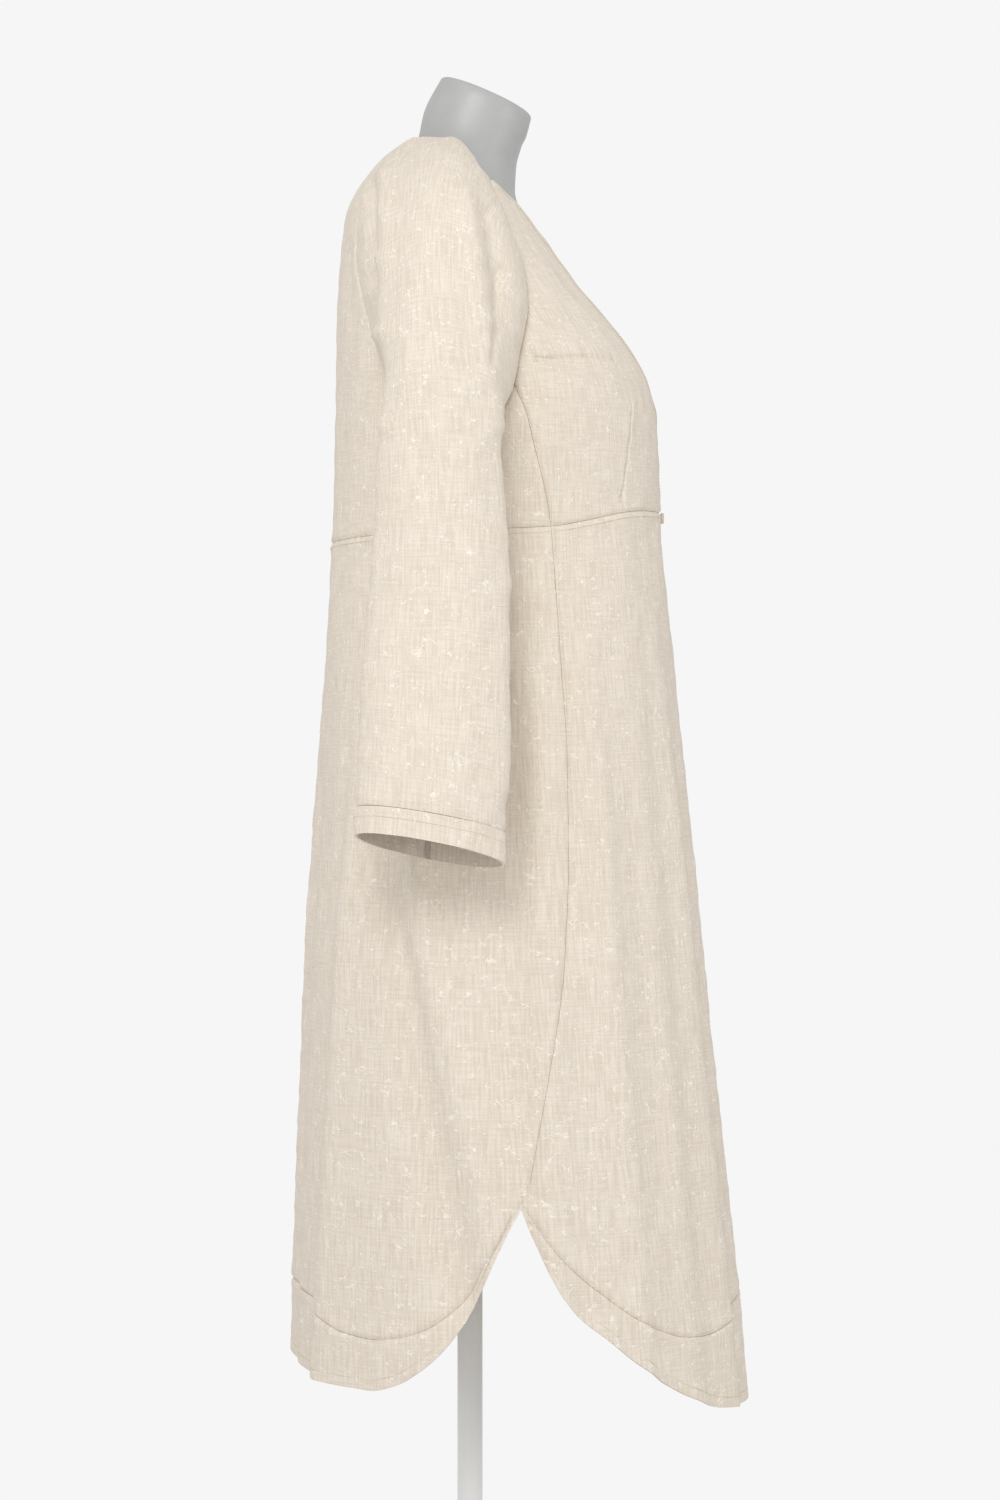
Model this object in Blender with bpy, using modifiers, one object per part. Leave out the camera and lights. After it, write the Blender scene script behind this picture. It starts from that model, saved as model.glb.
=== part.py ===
"""Long duster coat, worn open-necked by a headless dress form on a pole stand.

Metres, +Z up. The wearer's front faces -Y and the wearer's right side is -X. The origin is on
the floor, under the pole. The coat's panels are patches of one body surface: a stack of rounded
sections whose half width, front and back are in BODY. A place on it is an angle in degrees, from
0 at centre front over 90 at the right side to 180 at centre back, and a height.
"""
import bpy
import bmesh
import numpy as np
from mathutils import Vector, geometry

COLLECTION = "duster_coat_on_dress_form"

# Walls and clearances
CLOTH = 0.0016            # one layer of cloth
BAND = 0.0028             # turned hems: two layers
SEAM_GAP = 0.0003         # between the edges of two panels
BAND_RISE = 0.0004        # a turned hem stands this much prouder than its panel
LAP_GAP = 0.0012          # between the two fronts where they lap
LAP_START = 0.050         # distance from centre front where the under one starts to sink
LAP_FADE = 0.030          # and over which it does

# Body of the coat, from the neck down to the longest point of the hem
SECTION_POWER = 2.2       # 2 would be an ellipse, more is squarer


def table(columns, *rows):
    """A table with named columns: a dictionary of arrays."""
    return dict(zip(columns.split(), np.array(rows, dtype=float).T))


BODY = table(
    "z half_width front back",
    (0.240, 0.273, -0.277, 0.174),
    (0.325, 0.266, -0.270, 0.173),
    (0.405, 0.260, -0.262, 0.171),
    (0.505, 0.250, -0.251, 0.167),
    (0.605, 0.238, -0.240, 0.163),
    (0.685, 0.228, -0.232, 0.160),
    (0.785, 0.213, -0.222, 0.154),
    (0.905, 0.193, -0.210, 0.148),
    (1.045, 0.165, -0.196, 0.140),
    (1.110, 0.155, -0.190, 0.137),
    (1.170, 0.157, -0.188, 0.135),
    (1.220, 0.160, -0.185, 0.134),
    (1.262, 0.160, -0.172, 0.133),
    (1.300, 0.159, -0.148, 0.133),
    (1.339, 0.157, -0.115, 0.131),
    (1.377, 0.152, -0.0875, 0.128),
    (1.416, 0.137, -0.062, 0.124),
    (1.443, 0.115, -0.040, 0.112),
    (1.470, 0.095, -0.020, 0.090),
    (1.490, 0.080, 0.000, 0.062),
)

# Seams of the right half, by the side-view position y and the height
ARMHOLE_FRONT = table(
    "y z",
    (-0.0205, 1.4435), (-0.034, 1.402), (-0.0435, 1.374), (-0.053, 1.345),
    (-0.056, 1.312), (-0.048, 1.265), (-0.0425, 1.238),
)
ARMHOLE_UNDER = table("y z", (-0.0425, 1.238), (-0.031, 1.212), (-0.012, 1.193), (0.010, 1.185))
ARMHOLE_BACK = table(
    "y z",
    (0.010, 1.185), (0.034, 1.195), (0.058, 1.216), (0.081, 1.255), (0.099, 1.310),
    (0.110, 1.370), (0.107, 1.420), (0.090, 1.455), (0.072, 1.477), (0.058, 1.4895),
)
SIDE_SEAM = table(
    "y z",
    (-0.0553, 0.4586), (-0.075, 0.5745), (-0.092, 0.687), (-0.096, 0.790), (-0.095, 0.8755),
    (-0.0875, 0.9905), (-0.079, 1.1006), (-0.074, 1.133), (-0.0636, 1.176), (-0.055, 1.2106),
    (-0.0425, 1.238),
)
# Front edge of the right front: hem, waist, V neck and neckline, by x and height
FRONT_EDGE = table(
    "z x",
    (0.250, 0.012), (1.140, 0.012), (1.165, 0.011), (1.185, 0.005), (1.205, -0.005),
    (1.224, -0.014), (1.243, -0.022), (1.262, -0.030), (1.281, -0.036), (1.301, -0.042),
    (1.320, -0.047), (1.339, -0.052), (1.358, -0.056), (1.3775, -0.060), (1.397, -0.064),
    (1.416, -0.068), (1.4435, -0.0765),
)
# Heights of the waist seam, of the hem bands' seams and of the hem, by angle
WAIST = table(
    "angle z",
    (-10, 1.121), (0, 1.121), (25, 1.120), (40, 1.117), (58, 1.108), (73.6, 1.1006),
    (110, 1.096), (180, 1.090),
)
NOTCH_ANGLE = 88.8
NOTCH_HEIGHT = 0.4586
BAND_END = 0.005          # height of a hem band where it dies away at the side notch
FRONT_BAND_SEAM = table(
    "angle z",
    (-10, 0.354), (0, 0.352), (15.9, 0.346), (27.8, 0.330), (35.8, 0.324), (44.8, 0.326),
    (54.1, 0.3355), (62.3, 0.350), (69.7, 0.371), (76.7, 0.393), (81.9, 0.414), (85.6, 0.437),
    (88.8, 0.4586),
)
FRONT_HEM = table(
    "angle z",
    (-10, 0.252), (0, 0.251), (19.1, 0.2474), (31.2, 0.252), (42.5, 0.265), (53.2, 0.284),
    (62.3, 0.307), (69.7, 0.331), (76.7, 0.353), (80.4, 0.371), (83.4, 0.394), (85.6, 0.4175),
    (87.7, 0.440), (88.8, 0.4546),
)
BACK_BAND_SEAM = table(
    "angle z",
    (88.8, 0.4586), (93.6, 0.4185), (96.5, 0.403), (100.2, 0.377), (105.5, 0.356),
    (111.7, 0.340), (120, 0.330), (128, 0.327), (137.8, 0.330), (146.8, 0.3415),
    (155.6, 0.354), (180, 0.357),
)
BACK_HEM = table(
    "angle z",
    (88.8, 0.4546), (93.6, 0.412), (97.3, 0.380), (102.4, 0.3455), (108.6, 0.3155),
    (115, 0.2966), (120, 0.2865), (128, 0.279), (137, 0.279), (155, 0.281), (180, 0.285),
)

# Folds of the skirt: a soft ridge (rise > 0) or trough (rise < 0) between two places. The right
# half's angles are under 180, the left half's are 360 minus the angle, and negative at the front.
FOLDS = table(
    "top_angle low_angle top_z low_z spread rise",
    (60, 56, 1.04, 0.45, 7, 0.0045),
    (51, 51, 1.02, 0.36, 6, -0.0050),
    (28, 27, 1.05, 0.33, 6, 0.0040),
    (77, 82, 1.02, 0.50, 5, 0.0040),
    (85, 87, 1.02, 0.60, 4, -0.0045),
    (98, 92, 0.95, 0.55, 5, -0.0035),
    (126, 96, 0.95, 0.42, 6, 0.0075),
    (136, 101, 0.98, 0.36, 6, -0.0085),
    (135, 146, 1.00, 0.32, 8, 0.0060),
    (158, 163, 1.02, 0.33, 8, -0.0070),
    (178, 182, 1.00, 0.31, 9, 0.0030),
    (199, 196, 1.02, 0.33, 8, -0.0060),
    (221, 215, 0.98, 0.33, 8, 0.0070),
    (229, 251, 0.97, 0.37, 7, -0.0080),
    (240, 262, 0.94, 0.43, 6, 0.0070),
    (266, 262, 0.95, 0.58, 5, -0.0035),
    (281, 277, 1.00, 0.50, 5, 0.0035),
    (-54, -50, 1.03, 0.36, 7, -0.0050),
    (-64, -60, 1.04, 0.44, 6, 0.0045),
    (-31, -28, 1.05, 0.34, 6, 0.0040),
)

# Raglan sleeve. Each row is two arcs from the armhole seam over the crown back to the seam. The
# front and back leads are the arcs' directions at the seam, the reaches their lengths at the crown.
CAP = table(
    "row crown_x crown_y crown_z lead_fx lead_fy lead_fz lead_bx lead_by lead_bz reach_f reach_b",
    (0.00, -0.078, 0.020, 1.487, -0.001, 0.014, 0.016, -0.014, -0.006, 0.000, 0.014, 0.016),
    (0.12, -0.108, 0.022, 1.477, -0.012, 0.008, 0.024, -0.020, -0.004, 0.006, 0.020, 0.022),
    (0.25, -0.145, 0.026, 1.459, -0.020, 0.003, 0.030, -0.028, 0.000, 0.014, 0.028, 0.030),
    (0.40, -0.185, 0.030, 1.426, -0.028, -0.002, 0.028, -0.034, 0.003, 0.020, 0.036, 0.038),
    (0.55, -0.214, 0.033, 1.376, -0.032, -0.005, 0.020, -0.036, 0.004, 0.018, 0.044, 0.044),
    (0.75, -0.240, 0.032, 1.300, -0.034, -0.012, 0.008, -0.034, 0.010, 0.010, 0.058, 0.058),
    (0.90, -0.250, 0.030, 1.250, -0.030, -0.024, 0.000, -0.034, 0.030, -0.002, 0.068, 0.068),
    (1.00, -0.256, 0.0285, 1.215, -0.026, -0.048, 0.000, -0.026, 0.070, 0.000, 0.0727, 0.0727),
)
TUBE = table(
    "crown_z inner_z inner_x outer_x front back inner_y tilt splay",
    (0.8015, 0.7910, -0.2560, -0.3270, -0.0345, 0.1045, 0.0350, 0.190, 0.000),
    (0.9120, 0.9060, -0.2290, -0.3040, -0.0380, 0.0994, 0.0310, 0.120, 0.000),
    (1.0000, 0.9980, -0.2060, -0.2840, -0.0375, 0.0936, 0.0280, 0.060, 0.000),
    (1.0700, 1.0650, -0.1900, -0.2710, -0.0360, 0.0890, 0.0250, 0.020, 0.000),
    (1.1650, 1.1470, -0.1720, -0.2605, -0.0300, 0.0845, 0.0180, 0.000, -0.012),
    (1.2150, 1.1850, -0.1575, -0.2560, -0.0260, 0.0830, 0.0100, 0.000, -0.026),
)
CUFF_DEPTH = 0.0255       # turned hem at the wrist

# How finely the panels are divided
CAP_FRONT_ROWS = 9        # from the neck down to the side seam
CAP_UNDER_ROWS = 3        # from the side seam to the lowest point of the armhole
CAP_ROWS = CAP_FRONT_ROWS + CAP_UNDER_ROWS
CAP_TURN_ROWS = 3         # above the side seam, over which the sleeve's rim leaves the body's
TUBE_ROWS = 10
SLEEVE_ARC = 12           # columns of each of a row's two arcs
NECK_COLUMNS = 4          # from the back armhole seam to centre back
SIDE_ROWS = 6             # of the side seam above the waist
SKIRT_ROWS = 18           # of the side seam below it
FRONT_EDGE_ROWS = 15      # of the front edge and neckline above the waist
WAIST_BACK_COLUMNS = 14   # of half of the back
WAIST_FRONT_COLUMNS = 11
BAND_BACK_COLUMNS = 16    # of half of the back
BAND_FRONT_COLUMNS = 16
BAND_ROWS = 2             # of the wrist's hem
BODICE_STEP = (0.022, 0.022)      # lattice inside a panel: around the body, and down
SKIRT_STEP = (0.019, 0.050)
METRES_PER_DEGREE = 0.0033
WAIST_SIDE_Z = 1.1006

# Dress form: neck, shoulders and torso in one smooth body, cut flat under the hips
FORM = table(
    "z half_width front back tilt",
    (0.780, 0.150, -0.120, 0.105, 0.00),
    (0.850, 0.155, -0.128, 0.112, 0.00),
    (0.920, 0.150, -0.128, 0.115, 0.00),
    (1.080, 0.112, -0.115, 0.095, 0.00),
    (1.150, 0.115, -0.135, 0.105, 0.00),
    (1.220, 0.128, -0.160, 0.116, 0.00),
    (1.262, 0.132, -0.150, 0.122, 0.00),
    (1.300, 0.136, -0.130, 0.1274, 0.00),
    (1.339, 0.136, -0.100, 0.1288, 0.00),
    (1.377, 0.130, -0.074, 0.1243, 0.00),
    (1.416, 0.110, -0.054, 0.1168, 0.00),
    (1.443, 0.090, -0.045, 0.1030, 0.00),
    (1.470, 0.070, -0.0465, 0.0800, 0.00),
    (1.488, 0.058, -0.0510, 0.0540, 0.02),
    (1.510, 0.052, -0.0560, 0.0460, 0.24),
    (1.5355, 0.048, -0.0610, 0.0290, 0.433),
)
FORM_COLUMNS = 24

POLE_RADIUS = 0.0125
BASE_RADIUS = 0.190
BASE_HEIGHT = 0.008
BASE_EDGE = 0.0025

BUTTON_RADIUS = 0.0055
BUTTON_HEIGHT = 0.0035
BUTTON_EDGE = 0.0008
BUTTON_Z = 1.1165
BUTTON_CLEARANCE = 0.0006

# Colours (linear), roughness and metallic of each material
MATERIALS = {
    "linen": ((0.80, 0.73, 0.65), 0.85, 0.0),
    "form_skin": ((0.50, 0.50, 0.52), 0.45, 0.0),
    "white_paint": ((0.88, 0.88, 0.87), 0.40, 0.0),
    "shell_button": ((0.70, 0.62, 0.52), 0.35, 0.0),
}


# ---- Curves and surfaces -------------------------------------------------------------------

def smooth(xs, ys, x):
    """Cubic through the table's rows whose slopes are held so that it never overshoots."""
    x = np.asarray(x, dtype=float)
    step = np.diff(xs)
    slope = np.diff(ys) / step
    product = slope[:-1] * slope[1:]
    total = slope[:-1] + slope[1:]
    tangent = np.empty(len(xs))
    tangent[1:-1] = np.where(product > 0, 2 * product / np.where(total == 0, 1, total), 0)
    tangent[0], tangent[-1] = slope[0], slope[-1]
    i = np.clip(np.searchsorted(xs, x) - 1, 0, len(step) - 1)
    t = np.clip((x - xs[i]) / step[i], 0, 1)
    a, b = 2 * t**3 - 3 * t**2 + 1, t**3 - 2 * t**2 + t
    c, d = 3 * t**2 - 2 * t**3, t**3 - t**2
    return a * ys[i] + b * step[i] * tangent[i] + c * ys[i + 1] + d * step[i] * tangent[i + 1]


def column(rows, name, x, by="z"):
    return smooth(rows[by], rows[name], x)


def signed_power(value, power):
    return np.sign(value) * np.abs(value) ** power


def body(angle, z, rows=BODY):
    """Point of the body surface: a superellipse across the section at this height."""
    front, back = column(rows, "front", z), column(rows, "back", z)
    turn = np.radians(angle)
    x = -column(rows, "half_width", z) * signed_power(np.sin(turn), 2 / SECTION_POWER)
    y = (front + back) / 2 - (back - front) / 2 * signed_power(np.cos(turn), 2 / SECTION_POWER)
    return np.stack([x, y, np.broadcast_to(z, x.shape)], axis=-1)


def angle_at_y(y, z):
    """Angle at which the right half of the body's section lies at y."""
    front, back = column(BODY, "front", z), column(BODY, "back", z)
    share = np.clip(((front + back) / 2 - y) / ((back - front) / 2), -1, 1)
    return np.degrees(np.arccos(signed_power(share, SECTION_POWER / 2)))


def angle_at_x(x, z):
    """Angle at which the front of the body's section lies at x."""
    share = np.clip(-x / column(BODY, "half_width", z), -1, 1)
    return np.degrees(np.arcsin(signed_power(share, SECTION_POWER / 2)))


def evenly(rows, count):
    """Angles and heights of count + 1 places, evenly spaced along a seam given by y and z."""
    chord = np.concatenate([[0], np.cumsum(np.hypot(np.diff(rows["y"]), np.diff(rows["z"])))])
    fine = np.linspace(0, chord[-1], 200)
    y, z = smooth(chord, rows["y"], fine), smooth(chord, rows["z"], fine)
    points = body(angle_at_y(y, z), z)
    length = np.concatenate([[0], np.cumsum(np.linalg.norm(np.diff(points, axis=0), axis=1))])
    at = np.interp(np.linspace(0, length[-1], count + 1), length, fine)
    y, z = smooth(chord, rows["y"], at), smooth(chord, rows["z"], at)
    return np.stack([angle_at_y(y, z), z], axis=-1)


def armhole():
    """Seam from the front neck under the arm to the back neck, 2 * CAP_ROWS + 1 places."""
    front = evenly(ARMHOLE_FRONT, CAP_FRONT_ROWS)
    under = evenly(ARMHOLE_UNDER, CAP_UNDER_ROWS)
    back = evenly(ARMHOLE_BACK, CAP_ROWS)
    return np.concatenate([front, under[1:], back[1:]])


def side_seam(z):
    return angle_at_y(column(SIDE_SEAM, "y", z), z)


def body_normal(angle, z):
    """Outward unit normal of the body surface, from its two tangents."""
    half_turn, half_rise = 0.5, 0.002
    low, high = np.maximum(z - half_rise, BODY["z"][0]), np.minimum(z + half_rise, BODY["z"][-1])
    around = body(angle + half_turn, z) - body(angle - half_turn, z)
    n = np.cross(body(angle, high) - body(angle, low), around)
    return n / np.linalg.norm(n, axis=-1, keepdims=True)


def lay(angle, z, out=0.0):
    """Points of a panel, moved out of the body surface, and their outward directions."""
    z = np.broadcast_to(z, np.shape(angle))
    n = body_normal(angle, z)
    return body(angle, z) + n * np.asarray(out)[..., None], n


def grid_normals(grid):
    """Unit normals of any grid of points, from its two tangents."""
    n = np.cross(np.gradient(grid, axis=0), np.gradient(grid, axis=1))
    return n / np.maximum(np.linalg.norm(n, axis=-1, keepdims=True), 1e-12)


def draw_in(grid):
    """Shift that takes a sleeve cap's two side edges inwards by just over half of the seam gap."""
    shift = np.zeros_like(grid)
    for edge, neighbour in ((0, 1), (-1, -2)):
        along = np.gradient(grid[:, edge], axis=0)
        along /= np.maximum(np.linalg.norm(along, axis=-1, keepdims=True), 1e-12)
        inwards = grid[:, neighbour] - grid[:, edge]
        across = inwards - np.sum(inwards * along, axis=-1, keepdims=True) * along
        across /= np.maximum(np.linalg.norm(across, axis=-1, keepdims=True), 1e-12)
        shift[:, edge] = across * SEAM_GAP * 0.6
    return shift


def folds(angle, z):
    """Height of the skirt's folds: each is a bell across its path, faded in below its top."""
    total = np.zeros(np.broadcast(angle, z).shape)
    for top_angle, low_angle, top_z, low_z, spread, rise in zip(*FOLDS.values()):
        down = np.clip((top_z - z) / (top_z - low_z), 0, None)
        centre = top_angle + (low_angle - top_angle) * np.minimum(down, 1.3)
        fade = np.clip(down / 0.45, 0, 1)
        fade = fade * fade * (3 - 2 * fade)
        off = (angle - centre + 180) % 360 - 180
        total += rise * fade * np.exp(-(off / spread) ** 2)
    return total


def lap(angle, z):
    """Depth by which the left front lies under the right one, near centre front."""
    x = body(angle, z)[..., 0]
    near = np.clip((LAP_START - np.abs(x)) / LAP_FADE, 0, 1)
    return (BAND + LAP_GAP) * near * near * (3 - 2 * near)


# ---- Panels: outlines of places (angle, height) on the body --------------------------------

def run(angle, z, seam=True):
    """A stretch of a panel's outline, and whether another panel is sewn on there."""
    angle, z = np.broadcast_arrays(np.asarray(angle, dtype=float), np.asarray(z, dtype=float))
    return np.stack([angle, z], axis=-1), seam


def joined(*runs):
    """Closed outline of runs that follow each other, and the seam flag of each of its edges."""
    places = np.concatenate([places[:-1] for places, _ in runs])
    flags = np.concatenate([np.full(len(places) - 1, seam) for places, seam in runs])
    return places, flags


def reversed_run(stretch):
    return stretch[0][::-1], stretch[1]


def other_side(stretch):
    """The same stretch on the body's left half, in the opposite order."""
    return (stretch[0] * [-1, 1] + [360, 0])[::-1], stretch[1]


def armhole_run(first, last):
    places = armhole()[first:last + 1]
    return run(places[:, 0], places[:, 1])


def side_run(low, high, count):
    z = np.linspace(low, high, count + 1)
    return run(np.where(z == NOTCH_HEIGHT, NOTCH_ANGLE, side_seam(z)), z)


def waist_run(first, last, count):
    angle = np.linspace(first, last, count + 1)
    return run(angle, column(WAIST, "z", angle, by="angle"))


def edge_run(low, high, count):
    """Free front edge: the opening below, the neckline above."""
    z = np.linspace(low, high, count + 1)
    return run(angle_at_x(column(FRONT_EDGE, "x", z), z), z, seam=False)


def band_run(rows, first, last, count, seam=True, gather=1.6):
    """Seam or free edge of a hem band from the side notch, its places closer at the notch."""
    angle = first + (last - first) * np.linspace(0, 1, count + 1) ** gather
    return run(angle, column(rows, "z", angle, by="angle"), seam)


def waist_edge():
    z = WAIST["z"][0]
    return float(angle_at_x(column(FRONT_EDGE, "x", z), z))


def low_edge(z):
    return float(angle_at_x(FRONT_EDGE["x"][0], z))


def back_bodice():
    neck = run(np.linspace(armhole()[-1][0], 180, NECK_COLUMNS + 1), BODY["z"][-1], seam=False)
    neck[0][0, 1] = armhole()[-1][1]
    right = [side_run(WAIST_SIDE_Z, ARMHOLE_FRONT["z"][-1], SIDE_ROWS),
             armhole_run(CAP_FRONT_ROWS, 2 * CAP_ROWS), neck]
    left = [other_side(stretch) for stretch in reversed(right)]
    low = waist_run(side_seam(WAIST_SIDE_Z), 180, WAIST_BACK_COLUMNS)
    return joined(*right, *left, reversed_run(other_side(low)), reversed_run(low))


def front_bodice():
    raglan = armhole_run(0, CAP_FRONT_ROWS)
    side = side_run(WAIST_SIDE_Z, ARMHOLE_FRONT["z"][-1], SIDE_ROWS)
    edge = edge_run(WAIST["z"][0], FRONT_EDGE["z"][-1], FRONT_EDGE_ROWS)
    top = run([edge[0][-1, 0], raglan[0][0, 0]], FRONT_EDGE["z"][-1], seam=False)
    return joined(waist_run(side_seam(WAIST_SIDE_Z), waist_edge(), WAIST_FRONT_COLUMNS),
                  edge, top, raglan, reversed_run(side))


def back_skirt():
    side = side_run(WAIST_SIDE_Z, NOTCH_HEIGHT, SKIRT_ROWS)
    waist = waist_run(side_seam(WAIST_SIDE_Z), 180, WAIST_BACK_COLUMNS)
    band = band_run(BACK_BAND_SEAM, NOTCH_ANGLE, 180, BAND_BACK_COLUMNS)
    return joined(side, band, other_side(band), other_side(side),
                  reversed_run(other_side(waist)), reversed_run(waist))


def front_skirt():
    side = side_run(WAIST_SIDE_Z, NOTCH_HEIGHT, SKIRT_ROWS)
    low = low_edge(FRONT_BAND_SEAM["z"][0])
    band = band_run(FRONT_BAND_SEAM, NOTCH_ANGLE, low, BAND_FRONT_COLUMNS)
    edge = run(np.linspace(low, waist_edge(), SKIRT_ROWS + 1),
               np.linspace(band[0][-1, 1], WAIST["z"][0], SKIRT_ROWS + 1), seam=False)
    waist = waist_run(side_seam(WAIST_SIDE_Z), waist_edge(), WAIST_FRONT_COLUMNS)
    return joined(side, band, edge, reversed_run(waist))


def back_hem_band():
    band = band_run(BACK_BAND_SEAM, NOTCH_ANGLE, 180, BAND_BACK_COLUMNS)
    hem = band_run(BACK_HEM, NOTCH_ANGLE, 180, BAND_BACK_COLUMNS, seam=False)
    end = run(NOTCH_ANGLE, [NOTCH_HEIGHT - BAND_END, NOTCH_HEIGHT])
    hem[0][0, 1] = NOTCH_HEIGHT - BAND_END
    return joined(end, band, other_side(band), other_side(end),
                  reversed_run(other_side(hem)), reversed_run(hem))


def front_hem_band():
    low = low_edge(FRONT_BAND_SEAM["z"][0])
    band = band_run(FRONT_BAND_SEAM, NOTCH_ANGLE, low, BAND_FRONT_COLUMNS)
    hem = band_run(FRONT_HEM, NOTCH_ANGLE, low, BAND_FRONT_COLUMNS, seam=False)
    hem[0][0, 1] = NOTCH_HEIGHT - BAND_END
    end = run(NOTCH_ANGLE, [NOTCH_HEIGHT - BAND_END, NOTCH_HEIGHT])
    edge = run(low, np.linspace(band[0][-1, 1], hem[0][-1, 1], 3), seam=False)
    return joined(end, band, edge, reversed_run(hem))


def filled(places, across, down):
    """Places of an outline and, inside it, of a staggered lattice, and the triangles between."""
    scale = np.array([METRES_PER_DEGREE / across, 1 / down])
    edge = places * scale
    nxt = np.roll(edge, -1, axis=0)
    low, high = edge.min(axis=0), edge.max(axis=0)
    rows = np.arange(low[1] + 0.5, high[1], 0.9)
    grid = [np.stack([np.arange(low[0] + 0.5 * (i % 2), high[0], 1.0),
                      np.full(len(np.arange(low[0] + 0.5 * (i % 2), high[0], 1.0)), y)], axis=-1)
            for i, y in enumerate(rows)]
    grid = np.concatenate(grid)
    x, y = grid[:, 0, None], grid[:, 1, None]
    crosses = (edge[:, 1] > y) != (nxt[:, 1] > y)
    rise = np.where(nxt[:, 1] == edge[:, 1], 1, nxt[:, 1] - edge[:, 1])
    at = edge[:, 0] + (y - edge[:, 1]) / rise * (nxt[:, 0] - edge[:, 0])
    inside = np.sum(crosses & (x < at), axis=1) % 2 == 1
    span = nxt - edge
    t = np.sum((grid[:, None] - edge) * span, axis=-1) / np.maximum(np.sum(span**2, axis=-1), 1e-12)
    foot = edge + np.clip(t, 0, 1)[..., None] * span
    clear = np.min(np.linalg.norm(grid[:, None] - foot, axis=-1), axis=1) > 0.5
    points = np.concatenate([edge, grid[inside & clear]])
    ring = range(len(edge))
    cut = geometry.delaunay_2d_cdt([Vector(p) for p in points.tolist()], [], [list(ring)], 1, 1e-7)
    origin = [entry[0] for entry in cut[3]]
    triangles = np.array([[origin[i] for i in face] for face in cut[2]])
    return points / scale, triangles


def turning(places):
    """1 for an outline that runs up its last angles and down its first ones, -1 for the reverse."""
    nxt = np.roll(places, -1, axis=0)
    return np.sign(np.sum(places[:, 0] * nxt[:, 1] - nxt[:, 0] * places[:, 1]))


def inset(points, n, flags, turn):
    """Shift of each outline point that takes the outline's seam edges inwards along the panel."""
    edge = np.roll(points, -1, axis=0) - points
    edge /= np.linalg.norm(edge, axis=-1, keepdims=True)
    after = turn * np.cross(edge, n)
    before = np.roll(after, 1, axis=0)
    wide_after = np.where(flags, SEAM_GAP / 2, 0.0)
    wide_before = np.roll(wide_after, 1)
    both = np.sum(before * after, axis=-1)
    spread = np.maximum(1 - both**2, 0.05)
    a = (wide_after - both * wide_before) / spread
    b = (wide_before - both * wide_after) / spread
    straight = both > 0.97
    a = np.where(straight, wide_after / 2, a)
    b = np.where(straight, wide_before / 2, b)
    return a[:, None] * after + b[:, None] * before


def bezier(p0, p1, p2, p3, t):
    return (1 - t)**3 * p0 + 3 * (1 - t)**2 * t * p1 + 3 * (1 - t) * t**2 * p2 + t**3 * p3


def sleeve_row(front, back, crown, lead_front, lead_back, reach_front, reach_back):
    """One row of the sleeve: seam to crown and crown to seam, two cubic arcs."""
    t = np.linspace(0, 1, SLEEVE_ARC + 1)[:, None]
    forward = np.array([0.0, -1.0, 0.0])
    first = bezier(front, front + lead_front, crown + reach_front * forward, crown, t)
    second = bezier(crown, crown - reach_back * forward, back + lead_back, back, t)
    return np.concatenate([first, second[1:]])


def cap_rows():
    hole = armhole()
    points = body(hole[:, 0], hole[:, 1])
    rows = []
    for i in range(CAP_ROWS):
        at = {name: column(CAP, name, i / CAP_ROWS, by="row") for name in CAP if name != "row"}
        crown = np.array([at["crown_x"], at["crown_y"], at["crown_z"]])
        lead_front = np.array([at["lead_fx"], at["lead_fy"], at["lead_fz"]])
        lead_back = np.array([at["lead_bx"], at["lead_by"], at["lead_bz"]])
        rows.append(sleeve_row(points[i], points[-1 - i], crown, lead_front, lead_back,
                               at["reach_f"], at["reach_b"]))
    return rows


def tube_row(crown_z):
    """A closed row of the sleeve: two half ovals, tilted down towards the front."""
    at = {name: float(column(TUBE, name, crown_z, by="crown_z")) for name in TUBE}
    middle = (at["front"] + at["back"]) / 2
    inner = np.array([at["inner_x"], at["inner_y"], at["inner_z"]])
    crown = np.array([at["outer_x"], middle, crown_z])
    lead_front = np.array([at["splay"], 4 / 3 * (at["front"] - at["inner_y"]), 0])
    lead_back = np.array([at["splay"], 4 / 3 * (at["back"] - at["inner_y"]), 0])
    reach_front, reach_back = 4 / 3 * (middle - at["front"]), 4 / 3 * (at["back"] - middle)
    row = sleeve_row(inner, inner, crown, lead_front, lead_back, reach_front, reach_back)
    row[:, 2] += at["tilt"] * (row[:, 1] - middle)
    return row


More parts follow.
